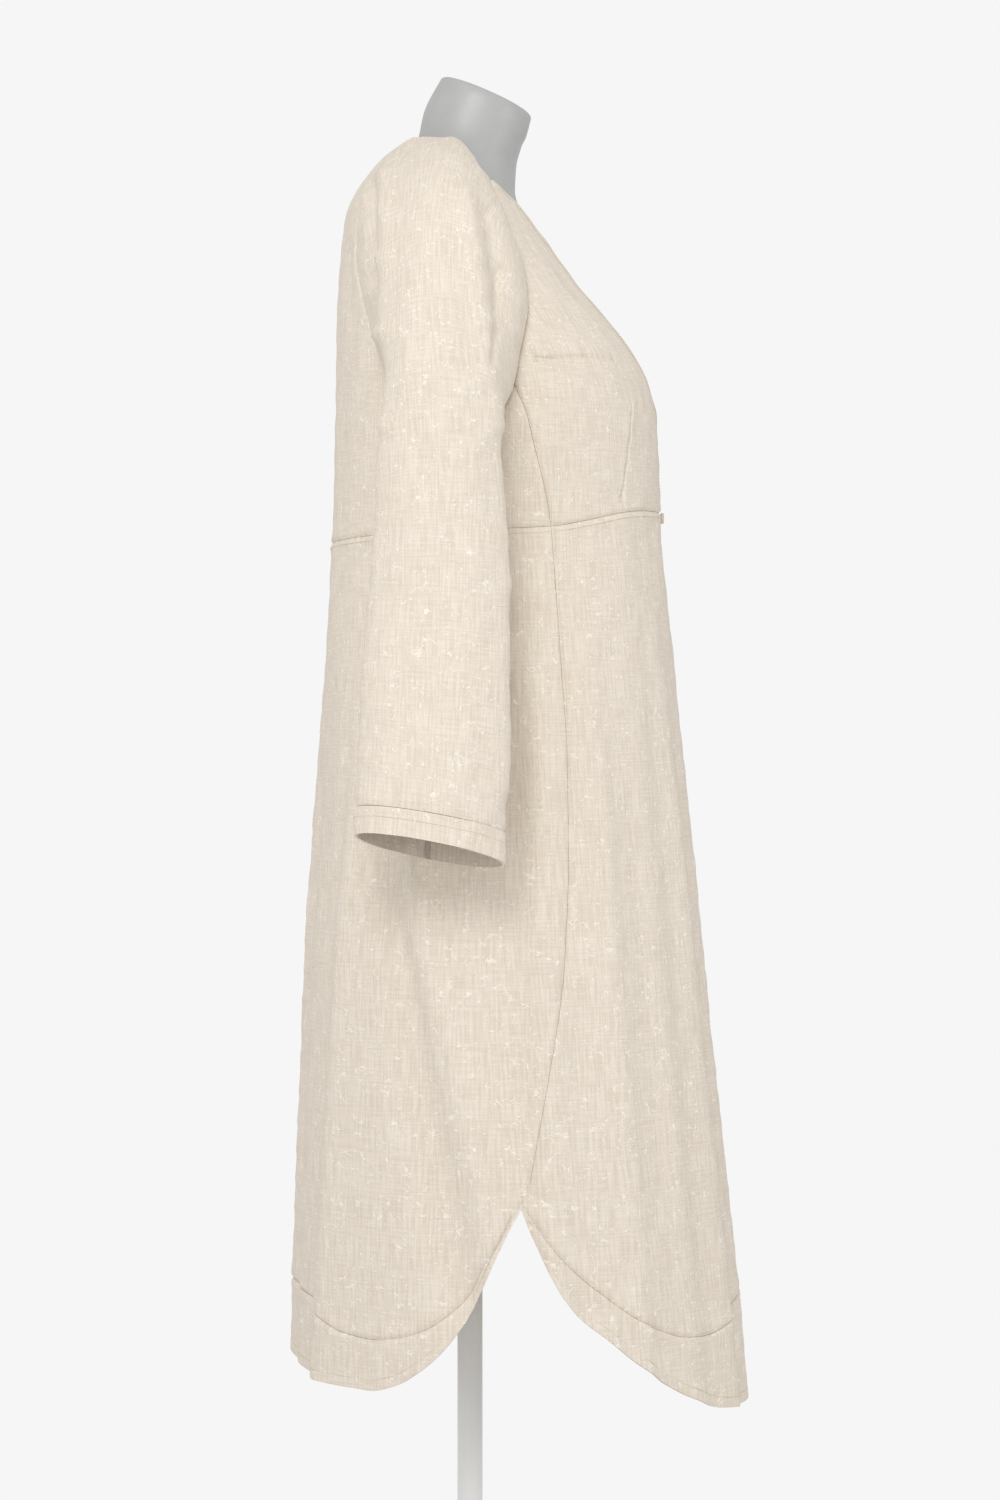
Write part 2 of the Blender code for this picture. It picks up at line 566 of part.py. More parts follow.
def sleeve():
    """Grid of the sleeve from the neck to the cuff, and its outward directions.

    Its last TUBE_ROWS + 1 rows are closed. Along the armhole the outward directions are the
    body's, and they turn to the sleeve's own under the arm.
    """
    wrist = TUBE["crown_z"][0] + CUFF_DEPTH + 2 * SEAM_GAP
    heights = np.linspace(TUBE["crown_z"][-1], wrist, TUBE_ROWS + 1)
    grid = np.array(cap_rows() + [tube_row(z) for z in heights])
    wrapped = np.concatenate([grid[:, -2:-1], grid, grid[:, 1:2]], axis=1)
    n = -grid_normals(grid)
    n[CAP_ROWS:] = -grid_normals(wrapped)[CAP_ROWS:, 1:-1]
    n[-1, :, 2] = 0
    n[-1] /= np.linalg.norm(n[-1], axis=-1, keepdims=True)
    hole = armhole()
    of_body = body_normal(hole[:, 0], hole[:, 1])
    share = np.clip((CAP_FRONT_ROWS - np.arange(CAP_ROWS)) / CAP_TURN_ROWS, 0, 1)[:, None]
    for edge, body_side in ((0, of_body[:CAP_ROWS]), (-1, of_body[:CAP_ROWS:-1])):
        mixed = share * body_side + (1 - share) * n[:CAP_ROWS, edge]
        n[:CAP_ROWS, edge] = mixed / np.linalg.norm(mixed, axis=-1, keepdims=True)
    grid[:CAP_ROWS] += draw_in(grid[:CAP_ROWS + 1])[:CAP_ROWS]
    underarm = grid[CAP_ROWS + 1, 0] - grid[CAP_ROWS, 0]
    step = underarm / np.linalg.norm(underarm) * SEAM_GAP
    grid[CAP_ROWS, [0, -1]] += step + np.array([-SEAM_GAP, 0, 0])
    return grid, n


def cuff():
    """Turned hem at the wrist, a little prouder than the sleeve."""
    edge = TUBE["crown_z"][0]
    grid = np.array([tube_row(z) for z in np.linspace(edge + CUFF_DEPTH, edge, BAND_ROWS + 1)])
    away = grid - (grid[:, :1] + grid[:, SLEEVE_ARC:SLEEVE_ARC + 1]) / 2
    away[..., 2] = 0
    away /= np.linalg.norm(away, axis=-1, keepdims=True)
    return grid + away * BAND_RISE, away


# ---- Objects -------------------------------------------------------------------------------

def material(name):
    colour, roughness, metallic = MATERIALS[name]
    made = bpy.data.materials.get(name) or bpy.data.materials.new(name)
    made.use_nodes = True
    shader = made.node_tree.nodes["Principled BSDF"]
    shader.inputs["Base Color"].default_value = (*colour, 1.0)
    shader.inputs["Roughness"].default_value = roughness
    shader.inputs["Metallic"].default_value = metallic
    return made


def add_object(name, mesh, parts, material_name):
    made = bpy.data.objects.new(name, mesh)
    parts.objects.link(made)
    mesh.materials.clear()
    mesh.materials.append(material(material_name))
    mesh.shade_smooth()
    mesh.set_sharp_from_angle(angle=np.radians(50))
    return made


def wall_mesh(name, outer, inner, closed_from):
    """Closed wall between two grids. From row closed_from on, the first and last columns join.

    Both skins are split into triangles along the same diagonals, so that they never cross.
    """
    rows, columns = outer.shape[:2]
    index = np.arange(rows * columns).reshape(rows, columns)
    if closed_from is not None:
        index[closed_from:, -1] = index[closed_from:, 0]
    first = np.stack([index[:-1, :-1], index[:-1, 1:], index[1:, 1:]], axis=-1).reshape(-1, 3)
    second = np.stack([index[:-1, :-1], index[1:, 1:], index[1:, :-1]], axis=-1).reshape(-1, 3)
    back = index + rows * columns
    halves = np.concatenate([first, second])
    skins = np.concatenate([halves, halves[:, ::-1] + rows * columns])
    faces = []
    open_rows = rows if closed_from is None else closed_from + 1
    edges = [index[0], index[-1], index[:open_rows, 0], index[:open_rows, -1]]
    backs = [back[0], back[-1], back[:open_rows, 0], back[:open_rows, -1]]
    if closed_from == 0:
        edges, backs = edges[:2], backs[:2]
    for edge, behind in zip(edges, backs):
        faces.append(np.stack([edge[:-1], edge[1:], behind[1:], behind[:-1]], axis=-1))
    faces = skins.tolist() + np.concatenate(faces).tolist()
    points = np.concatenate([outer.reshape(-1, 3), inner.reshape(-1, 3)])
    return closed_mesh(name, points, faces)


def closed_mesh(name, points, faces):
    used, compact = np.unique(np.concatenate([np.ravel(face) for face in faces]), return_inverse=True)
    built = bmesh.new()
    corners = [built.verts.new(point) for point in points[used]]
    ends = np.cumsum([len(face) for face in faces])
    for face in np.split(compact, ends[:-1]):
        built.faces.new([corners[i] for i in face])
    bmesh.ops.recalc_face_normals(built, faces=built.faces)
    mesh = bpy.data.meshes.new(name)
    built.to_mesh(mesh)
    built.free()
    return mesh


def panel(name, outline, step, parts, wall=CLOTH, out=0.0, side=1, under=False):
    """A cloth panel of the body. Side is -1 for the left one of a pair, which is the right one
    mirrored, and under tells whether it lies beneath the other front."""
    places, flags = outline
    places, triangles = filled(places, *step)
    angle, z = places.T
    rise = folds(side * angle, z) + out - lap(angle, z) * under
    outer, n = lay(angle, z, rise)
    edge = len(flags)
    outer[:edge] += inset(outer[:edge], n[:edge], flags, turning(places[:edge]))
    flip = np.array([side, 1.0, 1.0])
    points = np.concatenate([outer, outer - wall * n]) * flip
    count = len(outer)
    ring = np.arange(edge)
    rim = np.stack([ring, np.roll(ring, -1), np.roll(ring, -1) + count, ring + count], axis=-1)
    faces = triangles.tolist() + (triangles[:, ::-1] + count).tolist() + rim.tolist()
    add_object(name, closed_mesh(name, points, faces), parts, "linen")


def tube_panel(name, grid, n, closed_from, parts, wall, side):
    flip = np.array([side, 1.0, 1.0])
    mesh = wall_mesh(name, grid * flip, (grid - wall * n) * flip, closed_from)
    add_object(name, mesh, parts, "linen")


def build_bodice(parts):
    panel("back_bodice", back_bodice(), BODICE_STEP, parts)
    panel("front_bodice_right", front_bodice(), BODICE_STEP, parts)
    panel("front_bodice_left", front_bodice(), BODICE_STEP, parts, side=-1, under=True)


def build_skirt(parts):
    panel("back_skirt", back_skirt(), SKIRT_STEP, parts)
    panel("front_skirt_right", front_skirt(), SKIRT_STEP, parts)
    panel("front_skirt_left", front_skirt(), SKIRT_STEP, parts, side=-1, under=True)


def build_hem(parts):
    panel("back_hem_band", back_hem_band(), SKIRT_STEP, parts, BAND, BAND_RISE)
    panel("front_hem_band_right", front_hem_band(), SKIRT_STEP, parts, BAND, BAND_RISE)
    panel("front_hem_band_left", front_hem_band(), SKIRT_STEP, parts, BAND, BAND_RISE, -1, True)


def build_sleeves(parts):
    for name, side in (("right", 1), ("left", -1)):
        tube_panel("sleeve_" + name, *sleeve(), CAP_ROWS, parts, CLOTH, side)
        tube_panel("cuff_hem_" + name, *cuff(), 0, parts, BAND, side)


def build_form(parts):
    """Closed stack of rounded sections, the neck's tilted forward up to its flat top."""
    rows = FORM["z"]
    heights = np.sort(np.concatenate([rows, (rows[1:] + rows[:-1]) / 2]))
    angle = np.linspace(0, 360, FORM_COLUMNS, endpoint=False)
    rings = body(angle[None, :], np.repeat(heights[:, None], FORM_COLUMNS, axis=1), FORM)
    middle = (column(FORM, "front", heights) + column(FORM, "back", heights)) / 2
    rings[..., 2] += column(FORM, "tilt", heights)[:, None] * (rings[..., 1] - middle[:, None])
    built = bmesh.new()
    loops = [[built.verts.new(point) for point in ring] for ring in rings]
    for low, high in zip(loops, loops[1:]):
        for i in range(FORM_COLUMNS):
            j = (i + 1) % FORM_COLUMNS
            built.faces.new((low[i], low[j], high[j], high[i]))
    built.faces.new(loops[0])
    built.faces.new(loops[-1])
    bmesh.ops.recalc_face_normals(built, faces=built.faces)
    mesh = bpy.data.meshes.new("dress_form")
    built.to_mesh(mesh)
    built.free()
    add_object("dress_form", mesh, parts, "form_skin")


def turned(name, radius, height, location, parts, material_name, edge=0.0, along_y=False):
    """A cylinder with softened edges, upright or along Y, centred on its location."""
    built = bmesh.new()
    bmesh.ops.create_cone(built, cap_ends=True, segments=24, radius1=radius, radius2=radius,
                          depth=height)
    mesh = bpy.data.meshes.new(name)
    built.to_mesh(mesh)
    built.free()
    made = add_object(name, mesh, parts, material_name)
    made.location = location
    if along_y:
        made.rotation_euler = (np.pi / 2, 0, 0)
    if edge:
        bevel = made.modifiers.new("edge", "BEVEL")
        bevel.width = edge
        bevel.segments = 2
        bevel.limit_method = "ANGLE"


def build_stand(parts):
    turned("stand_base", BASE_RADIUS, BASE_HEIGHT, (0, 0, BASE_HEIGHT / 2), parts, "white_paint",
           BASE_EDGE)
    low, high = BASE_HEIGHT + SEAM_GAP, FORM["z"][0] - SEAM_GAP
    turned("stand_pole", POLE_RADIUS, high - low, (0, 0, (low + high) / 2), parts, "white_paint")


def build_button(parts):
    surface = float(column(BODY, "front", BUTTON_Z))
    y = surface - BUTTON_CLEARANCE - BUTTON_HEIGHT / 2
    turned("button", BUTTON_RADIUS, BUTTON_HEIGHT, (0, y, BUTTON_Z), parts, "shell_button",
           BUTTON_EDGE, along_y=True)


def main():
    for old in list(bpy.data.objects):
        bpy.data.objects.remove(old, do_unlink=True)
    parts = bpy.data.collections.new(COLLECTION)
    bpy.context.scene.collection.children.link(parts)
    build_bodice(parts)
    build_skirt(parts)
    build_hem(parts)
    build_sleeves(parts)
    build_form(parts)
    build_stand(parts)
    build_button(parts)


main()
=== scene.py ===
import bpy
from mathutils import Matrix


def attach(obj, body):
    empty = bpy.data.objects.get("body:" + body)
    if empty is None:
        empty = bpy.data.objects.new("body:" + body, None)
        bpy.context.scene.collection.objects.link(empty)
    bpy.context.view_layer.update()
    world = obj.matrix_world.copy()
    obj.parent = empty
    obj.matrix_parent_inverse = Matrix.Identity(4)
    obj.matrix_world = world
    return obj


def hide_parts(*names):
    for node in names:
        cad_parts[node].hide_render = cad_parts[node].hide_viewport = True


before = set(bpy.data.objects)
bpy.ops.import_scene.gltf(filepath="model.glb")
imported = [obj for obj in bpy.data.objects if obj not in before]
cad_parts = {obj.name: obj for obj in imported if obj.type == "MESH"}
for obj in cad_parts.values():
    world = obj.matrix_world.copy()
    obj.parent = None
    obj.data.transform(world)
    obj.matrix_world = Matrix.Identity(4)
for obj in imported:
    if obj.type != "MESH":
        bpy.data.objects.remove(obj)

"""Looks of a long linen duster coat on a headless dress form, laid out as a Blender add-on.

Metres, +Z up, the wearer's front towards -Y and the wearer's right side towards -X. The coat's
panels are patches of one body surface: a stack of superellipses whose half width, front and back
are in BODY. A place on it is an angle in degrees, from 0 at centre front over 90 at the right side
to 180 at centre back, and a height. Each panel is a closed shell of two skins, filled between the
seams by a triangle lattice that is finer along the seams, and carries the coat's folds.
"""

import bpy
import numpy as np
from mathutils import Vector, geometry

bl_info = {
    "name": "Duster coat on a dress form",
    "version": (1, 0, 0),
    "blender": (4, 5, 0),
    "location": "View3D > Sidebar > Duster",
    "description": "Builds a linen duster coat on a dress form, with its stand, light and camera",
    "category": "Object",
}

# Walls and clearances
CLOTH = 0.0016            # one layer of cloth
BAND = 0.0028             # turned hems: two layers
SEAM_GAP = 0.0003         # between the edges of two panels
BAND_RISE = 0.0004        # a turned hem stands this much prouder than its panel
LAP_GAP = 0.0004          # between the two fronts where they lap
LAP_START = 0.050         # distance from centre front where the under one starts to sink
LAP_FADE = 0.030          # and over which it does

# Body of the coat, from the neck down to the longest point of the hem
SECTION_POWER = 2.2       # 2 would be an ellipse, more is squarer


def table(columns, *rows):
    """A table with named columns: a dictionary of arrays."""
    return dict(zip(columns.split(), np.array(rows, dtype=float).T))


BODY = table(
    "z half_width front back",
    (0.240, 0.273, -0.277, 0.174),
    (0.325, 0.266, -0.270, 0.173),
    (0.405, 0.260, -0.262, 0.171),
    (0.505, 0.250, -0.251, 0.167),
    (0.605, 0.238, -0.240, 0.163),
    (0.685, 0.228, -0.232, 0.160),
    (0.785, 0.213, -0.222, 0.154),
    (0.905, 0.193, -0.210, 0.148),
    (1.045, 0.165, -0.196, 0.140),
    (1.110, 0.155, -0.190, 0.137),
    (1.170, 0.157, -0.188, 0.135),
    (1.220, 0.160, -0.185, 0.134),
    (1.262, 0.160, -0.172, 0.133),
    (1.300, 0.159, -0.148, 0.133),
    (1.339, 0.157, -0.115, 0.131),
    (1.377, 0.152, -0.0875, 0.128),
    (1.416, 0.137, -0.062, 0.124),
    (1.443, 0.115, -0.040, 0.112),
    (1.470, 0.095, -0.020, 0.090),
    (1.490, 0.080, 0.000, 0.062),
)

# Seams of the right half, by the side-view position y and the height
ARMHOLE_FRONT = table(
    "y z",
    (-0.0205, 1.4435), (-0.034, 1.402), (-0.0435, 1.374), (-0.053, 1.345),
    (-0.056, 1.312), (-0.048, 1.265), (-0.0425, 1.238),
)
ARMHOLE_UNDER = table("y z", (-0.0425, 1.238), (-0.031, 1.212), (-0.012, 1.193), (0.010, 1.185))
ARMHOLE_BACK = table(
    "y z",
    (0.010, 1.185), (0.034, 1.195), (0.058, 1.216), (0.081, 1.255), (0.099, 1.310),
    (0.110, 1.370), (0.107, 1.420), (0.090, 1.455), (0.072, 1.477), (0.058, 1.4895),
)
SIDE_SEAM = table(
    "y z",
    (-0.0553, 0.4586), (-0.075, 0.5745), (-0.092, 0.687), (-0.096, 0.790), (-0.095, 0.8755),
    (-0.0875, 0.9905), (-0.079, 1.1006), (-0.074, 1.133), (-0.0636, 1.176), (-0.055, 1.2106),
    (-0.0425, 1.238),
)
# Front edge of the right front: hem, waist, V neck and neckline, by x and height
FRONT_EDGE = table(
    "z x",
    (0.250, 0.012), (1.140, 0.012), (1.165, 0.011), (1.185, 0.005), (1.205, -0.005),
    (1.224, -0.014), (1.243, -0.022), (1.262, -0.030), (1.281, -0.036), (1.301, -0.042),
    (1.320, -0.047), (1.339, -0.052), (1.358, -0.056), (1.3775, -0.060), (1.397, -0.064),
    (1.416, -0.068), (1.4435, -0.0765),
)
# Heights of the waist seam, of the hem bands' seams and of the hem, by angle
WAIST = table(
    "angle z",
    (-10, 1.121), (0, 1.121), (25, 1.120), (40, 1.117), (58, 1.108), (73.6, 1.1006),
    (110, 1.096), (180, 1.090),
)
NOTCH_ANGLE = 88.8
NOTCH_HEIGHT = 0.4586
BAND_END = 0.005          # height of a hem band where it dies away at the side notch
FRONT_BAND_SEAM = table(
    "angle z",
    (-10, 0.354), (0, 0.352), (15.9, 0.346), (27.8, 0.330), (35.8, 0.324), (44.8, 0.326),
    (54.1, 0.3355), (62.3, 0.350), (69.7, 0.371), (76.7, 0.393), (81.9, 0.414), (85.6, 0.437),
    (88.8, 0.4586),
)
FRONT_HEM = table(
    "angle z",
    (-10, 0.252), (0, 0.251), (19.1, 0.2474), (31.2, 0.252), (42.5, 0.265), (53.2, 0.284),
    (62.3, 0.307), (69.7, 0.331), (76.7, 0.353), (80.4, 0.371), (83.4, 0.394), (85.6, 0.4175),
    (87.7, 0.440), (88.8, 0.4546),
)
BACK_BAND_SEAM = table(
    "angle z",
    (88.8, 0.4586), (93.6, 0.4185), (96.5, 0.403), (100.2, 0.377), (105.5, 0.356),
    (111.7, 0.340), (120, 0.330), (128, 0.327), (137.8, 0.330), (146.8, 0.3415),
    (155.6, 0.354), (180, 0.357),
)
BACK_HEM = table(
    "angle z",
    (88.8, 0.4546), (93.6, 0.412), (97.3, 0.380), (102.4, 0.3455), (108.6, 0.3155),
    (115, 0.2966), (120, 0.2865), (128, 0.279), (137, 0.279), (155, 0.281), (180, 0.285),
)

# Folds of the skirt: a soft ridge (rise > 0) or trough (rise < 0) between two places. The right
# half's angles are under 180, the left half's are 360 minus the angle, and negative at the front.
FOLDS = table(
    "top_angle low_angle top_z low_z spread rise",
    (60, 56, 1.04, 0.45, 7, 0.0045),
    (51, 51, 1.02, 0.36, 6, -0.0050),
    (28, 27, 1.05, 0.33, 6, 0.0040),
    (77, 82, 1.02, 0.50, 5, 0.0040),
    (85, 87, 1.02, 0.60, 4, -0.0045),
    (98, 92, 0.95, 0.55, 5, -0.0035),
    (126, 96, 0.95, 0.42, 6, 0.0075),
    (136, 101, 0.98, 0.36, 6, -0.0085),
    (135, 146, 1.00, 0.32, 8, 0.0060),
    (158, 163, 1.02, 0.33, 8, -0.0070),
    (178, 182, 1.00, 0.31, 9, 0.0030),
    (199, 196, 1.02, 0.33, 8, -0.0060),
    (221, 215, 0.98, 0.33, 8, 0.0070),
    (229, 251, 0.97, 0.37, 7, -0.0080),
    (240, 262, 0.94, 0.43, 6, 0.0070),
    (266, 262, 0.95, 0.58, 5, -0.0035),
    (281, 277, 1.00, 0.50, 5, 0.0035),
    (-54, -50, 1.03, 0.36, 7, -0.0050),
    (-64, -60, 1.04, 0.44, 6, 0.0045),
    (-31, -28, 1.05, 0.34, 6, 0.0040),
)

# Raglan sleeve. Each row is two arcs from the armhole seam over the crown back to the seam. The
# front and back leads are the arcs' directions at the seam, the reaches their lengths at the crown.
CAP = table(
    "row crown_x crown_y crown_z lead_fx lead_fy lead_fz lead_bx lead_by lead_bz reach_f reach_b",
    (0.00, -0.078, 0.020, 1.487, -0.001, 0.014, 0.016, -0.014, -0.006, 0.000, 0.014, 0.016),
    (0.12, -0.108, 0.022, 1.477, -0.012, 0.008, 0.024, -0.020, -0.004, 0.006, 0.020, 0.022),
    (0.25, -0.145, 0.026, 1.459, -0.020, 0.003, 0.030, -0.028, 0.000, 0.014, 0.028, 0.030),
    (0.40, -0.185, 0.030, 1.426, -0.028, -0.002, 0.028, -0.034, 0.003, 0.020, 0.036, 0.038),
    (0.55, -0.214, 0.033, 1.376, -0.032, -0.005, 0.020, -0.036, 0.004, 0.018, 0.044, 0.044),
    (0.75, -0.240, 0.032, 1.300, -0.034, -0.012, 0.008, -0.034, 0.010, 0.010, 0.058, 0.058),
    (0.90, -0.250, 0.030, 1.250, -0.030, -0.024, 0.000, -0.034, 0.030, -0.002, 0.068, 0.068),
    (1.00, -0.256, 0.0285, 1.215, -0.026, -0.048, 0.000, -0.026, 0.070, 0.000, 0.0727, 0.0727),
)
TUBE = table(
    "crown_z inner_z inner_x outer_x front back inner_y tilt splay",
    (0.8015, 0.7825, -0.2560, -0.3270, -0.0345, 0.1045, 0.0350, 0.190, 0.000),
    (0.9120, 0.9060, -0.2290, -0.3040, -0.0380, 0.0994, 0.0310, 0.120, 0.000),
    (1.0000, 0.9980, -0.2060, -0.2840, -0.0375, 0.0936, 0.0280, 0.060, 0.000),
    (1.0700, 1.0650, -0.1900, -0.2710, -0.0360, 0.0890, 0.0250, 0.020, 0.000),
    (1.1650, 1.1470, -0.1720, -0.2605, -0.0300, 0.0845, 0.0180, 0.000, -0.012),
    (1.2150, 1.1850, -0.1575, -0.2560, -0.0260, 0.0830, 0.0100, 0.000, -0.026),
)
CUFF_DEPTH = 0.0255       # turned hem at the wrist

# Small creases of the body: each an elongated dent or ridge about a place, its length leaning
# from the vertical by lean degrees towards higher angles. Lengths and widths are halves, in metres.
CREASES = table(
    "angle z lean length width rise",
    # under the armhole and over the bust
    (82, 1.165, 12, 0.040, 0.006, -0.0022), (70, 1.150, -28, 0.045, 0.006, 0.0016),
    (58, 1.185, -35, 0.050, 0.007, -0.0014), (66, 1.262, 30, 0.035, 0.006, 0.0014),
    (50, 1.250, 22, 0.050, 0.007, -0.0012), (36, 1.300, 14, 0.045, 0.006, 0.0010),
    (30, 1.190, 6, 0.040, 0.006, -0.0010), (22, 1.160, -8, 0.030, 0.005, 0.0010),
    (44, 1.150, 4, 0.032, 0.005, -0.0012), (90, 1.135, 20, 0.030, 0.006, 0.0014),
    # at the waist
    (34, 1.085, 8, 0.026, 0.004, -0.0011), (46, 1.080, -6, 0.030, 0.004, 0.0009),
    (56, 1.070, 4, 0.028, 0.004, -0.0010), (68, 1.065, -5, 0.035, 0.005, 0.0010),
    (12, 1.095, -16, 0.028, 0.005, -0.0012), (20, 1.088, 10, 0.030, 0.004, 0.0009),
    # back of the bodice
    (110, 1.150, -10, 0.050, 0.007, 0.0014), (125, 1.180, 8, 0.060, 0.008, -0.0013),
    (142, 1.130, -6, 0.045, 0.007, 0.0012), (158, 1.200, 5, 0.070, 0.009, -0.0010),
    (170, 1.120, -4, 0.040, 0.007, 0.0010), (186, 1.210, 7, 0.060, 0.008, -0.0010),
    (202, 1.140, -6, 0.050, 0.007, 0.0013), (222, 1.180, -9, 0.060, 0.008, -0.0013),
    (238, 1.150, 12, 0.045, 0.006, 0.0013), (256, 1.170, -14, 0.040, 0.006, -0.0016),
    (150, 1.320, 14, 0.060, 0.010, -0.0012), (208, 1.330, -16, 0.060, 0.010, -0.0012),
    # left front
    (-82, 1.160, -12, 0.040, 0.006, -0.0020), (-68, 1.150, 26, 0.045, 0.006, 0.0015),
    (-56, 1.190, 33, 0.050, 0.007, -0.0013), (-48, 1.255, -20, 0.045, 0.007, -0.0011),
    (-34, 1.295, -14, 0.045, 0.006, 0.0010), (-28, 1.180, -8, 0.040, 0.006, -0.0010),
    (-36, 1.085, -8, 0.026, 0.004, -0.0010), (-50, 1.075, 6, 0.030, 0.004, 0.0009),
    (-20, 1.090, -9, 0.028, 0.004, -0.0010), (-66, 1.065, 5, 0.035, 0.005, 0.0010),
    # skirt
    (40, 0.960, 4, 0.070, 0.007, 0.0012), (14, 0.940, -3, 0.080, 0.007, -0.0014),
    (8, 0.760, 2, 0.090, 0.008, 0.0012), (34, 0.720, -2, 0.080, 0.008, -0.0012),
    (62, 0.740, 3, 0.080, 0.007, 0.0012), (72, 0.560, 5, 0.070, 0.008, -0.0013),
    (44, 0.500, 3, 0.060, 0.008, 0.0012), (16, 0.560, -2, 0.090, 0.008, 0.0012),
    (108, 0.640, 12, 0.060, 0.008, 0.0012), (120, 0.520, 10, 0.060, 0.009, -0.0013),
    (128, 0.420, -6, 0.050, 0.008, 0.0012), (148, 0.900, -4, 0.080, 0.009, 0.0014),
    (168, 0.820, 3, 0.090, 0.009, -0.0012), (190, 0.700, -3, 0.090, 0.009, 0.0013),
    (206, 0.880, 4, 0.080, 0.009, -0.0013), (232, 0.600, -9, 0.070, 0.008, 0.0013),
    (250, 0.480, -8, 0.060, 0.008, -0.0013), (270, 0.720, 2, 0.080, 0.008, 0.0012),
    (-12, 0.860, 3, 0.080, 0.008, -0.0012), (-42, 0.800, -3, 0.080, 0.008, 0.0012),
    (-58, 0.620, -4, 0.070, 0.008, -0.0012), (-26, 0.520, 3, 0.070, 0.008, 0.0012),
)

# Crests and valleys that sharpen the folds, with the same columns as FOLDS
CRESTS = table(
    "top_angle low_angle top_z low_z spread rise",
    (124, 94, 0.95, 0.42, 2.4, 0.0030),
    (134, 99, 0.98, 0.38, 3.0, -0.0034),
    (135, 147, 1.04, 0.32, 3.0, 0.0034),
    (142, 154, 1.04, 0.36, 3.0, -0.0026),
    (160, 164, 0.95, 0.33, 7.0, 0.0055),
    (64, 60, 1.09, 0.45, 2.6, 0.0024),
    (57, 56, 1.09, 0.45, 2.6, -0.0026),
    (46, 44, 1.09, 0.45, 3.0, 0.0022),
    (36, 36, 1.10, 0.60, 3.0, -0.0024),
    (28, 27, 1.10, 0.40, 2.6, 0.0026),
    (20, 20, 1.12, 0.35, 2.4, -0.0042),
    (12, 12, 1.12, 0.35, 3.0, 0.0020),
    (72, 74, 1.08, 0.50, 3.0, -0.0022),
    (81, 82, 1.08, 0.55, 2.4, 0.0026),
    (90, 88, 1.08, 0.60, 3.0, -0.0040),
    (102, 98, 1.00, 0.55, 3.0, 0.0020),
    (112, 104, 0.95, 0.50, 3.0, -0.0020),
    (170, 172, 1.04, 0.30, 3.5, -0.0030),
    (178, 182, 1.04, 0.30, 3.0, 0.0030),
    (190, 190, 1.04, 0.30, 3.5, -0.0030),
    (212, 208, 1.02, 0.33, 3.0, -0.0026),
    (222, 216, 1.02, 0.33, 3.0, 0.0034),
    (236, 258, 0.97, 0.40, 2.6, 0.0030),
    (226, 247, 0.97, 0.37, 3.0, -0.0030),
    (-64, -60, 1.09, 0.45, 2.6, 0.0024),
    (-56, -54, 1.09, 0.45, 2.6, -0.0024),
    (-44, -42, 1.09, 0.45, 3.0, 0.0022),
    (-38, -36, 1.09, 0.50, 3.0, -0.0022),
    (-29, -27, 1.10, 0.40, 2.6, 0.0024),
    (-20, -19, 1.10, 0.35, 2.4, -0.0024),
)

# Folds of a sleeve, seen from its side: a line from the place y0, z0 to y1, z1, half its width
# and its rise. Inner ones lie on the hidden half that faces the body.
SLEEVE_FOLDS = table(
    "y0 z0 y1 z1 width rise inner",
    # ridge down the back of the sleeve and the hollow behind it
    (0.082, 1.445, 0.078, 1.352, 0.008, 0.0060, 0),
    (0.078, 1.352, 0.079, 1.280, 0.008, 0.0070, 0),
    (0.079, 1.280, 0.083, 1.190, 0.008, 0.0060, 0),
    (0.083, 1.190, 0.089, 1.060, 0.007, 0.0030, 0),
    (0.089, 1.060, 0.108, 0.820, 0.007, 0.0025, 0),
    (0.096, 1.440, 0.093, 1.340, 0.006, -0.0065, 0),
    (0.093, 1.340, 0.092, 1.285, 0.005, -0.0050, 0),
    # ridge down the front, and the hollow with the armhole's crease before it
    (0.003, 1.420, -0.005, 1.352, 0.009, 0.0045, 0),
    (-0.005, 1.352, -0.013, 1.288, 0.009, 0.0050, 0),
    (-0.013, 1.288, -0.028, 1.190, 0.009, 0.0050, 0),
    (-0.028, 1.190, -0.037, 1.040, 0.008, 0.0030, 0),
    (-0.037, 1.040, -0.038, 0.850, 0.009, 0.0025, 0),
    (-0.020, 1.400, -0.034, 1.290, 0.008, -0.0065, 0),
    (-0.034, 1.343, -0.021, 1.250, 0.004, -0.0045, 0),
    # drags across the arm
    (0.050, 1.180, 0.005, 1.080, 0.012, -0.0024, 0),
    (0.060, 1.130, 0.030, 1.060, 0.010, 0.0016, 0),
    (0.070, 1.030, 0.020, 0.960, 0.012, -0.0020, 0),
    (0.060, 0.990, 0.000, 0.930, 0.010, 0.0016, 0),
    (0.030, 0.930, 0.070, 0.850, 0.014, -0.0016, 0),
    (0.005, 0.900, 0.000, 0.820, 0.012, 0.0014, 0),
    (0.045, 1.330, 0.030, 1.220, 0.014, -0.0016, 0),
    (0.030, 1.420, 0.036, 1.340, 0.012, 0.0014, 0),
    (0.060, 1.150, 0.040, 1.050, 0.010, -0.0025, 1),
    (0.000, 1.130, 0.020, 1.030, 0.010, 0.0022, 1),
    (0.070, 1.000, 0.050, 0.900, 0.012, 0.0020, 1),
    (0.010, 0.980, 0.020, 0.860, 0.011, -0.0020, 1),
)

# Sewn lines, as places on the body: angle and height
BUST_DART = table("angle z", (75.0, 1.262), (68.0, 1.262), (52.0, 1.266), (38.0, 1.264))
WAIST_DART = table("angle z", (34.5, 1.2270), (38.5, 1.180), (43.0, 1.1290))
# And on the sleeve's cap, seen from the side
SHOULDER_DART = table("z y", (1.456, 0.064), (1.481, 0.061), (1.489, 0.059), (1.496, 0.055))

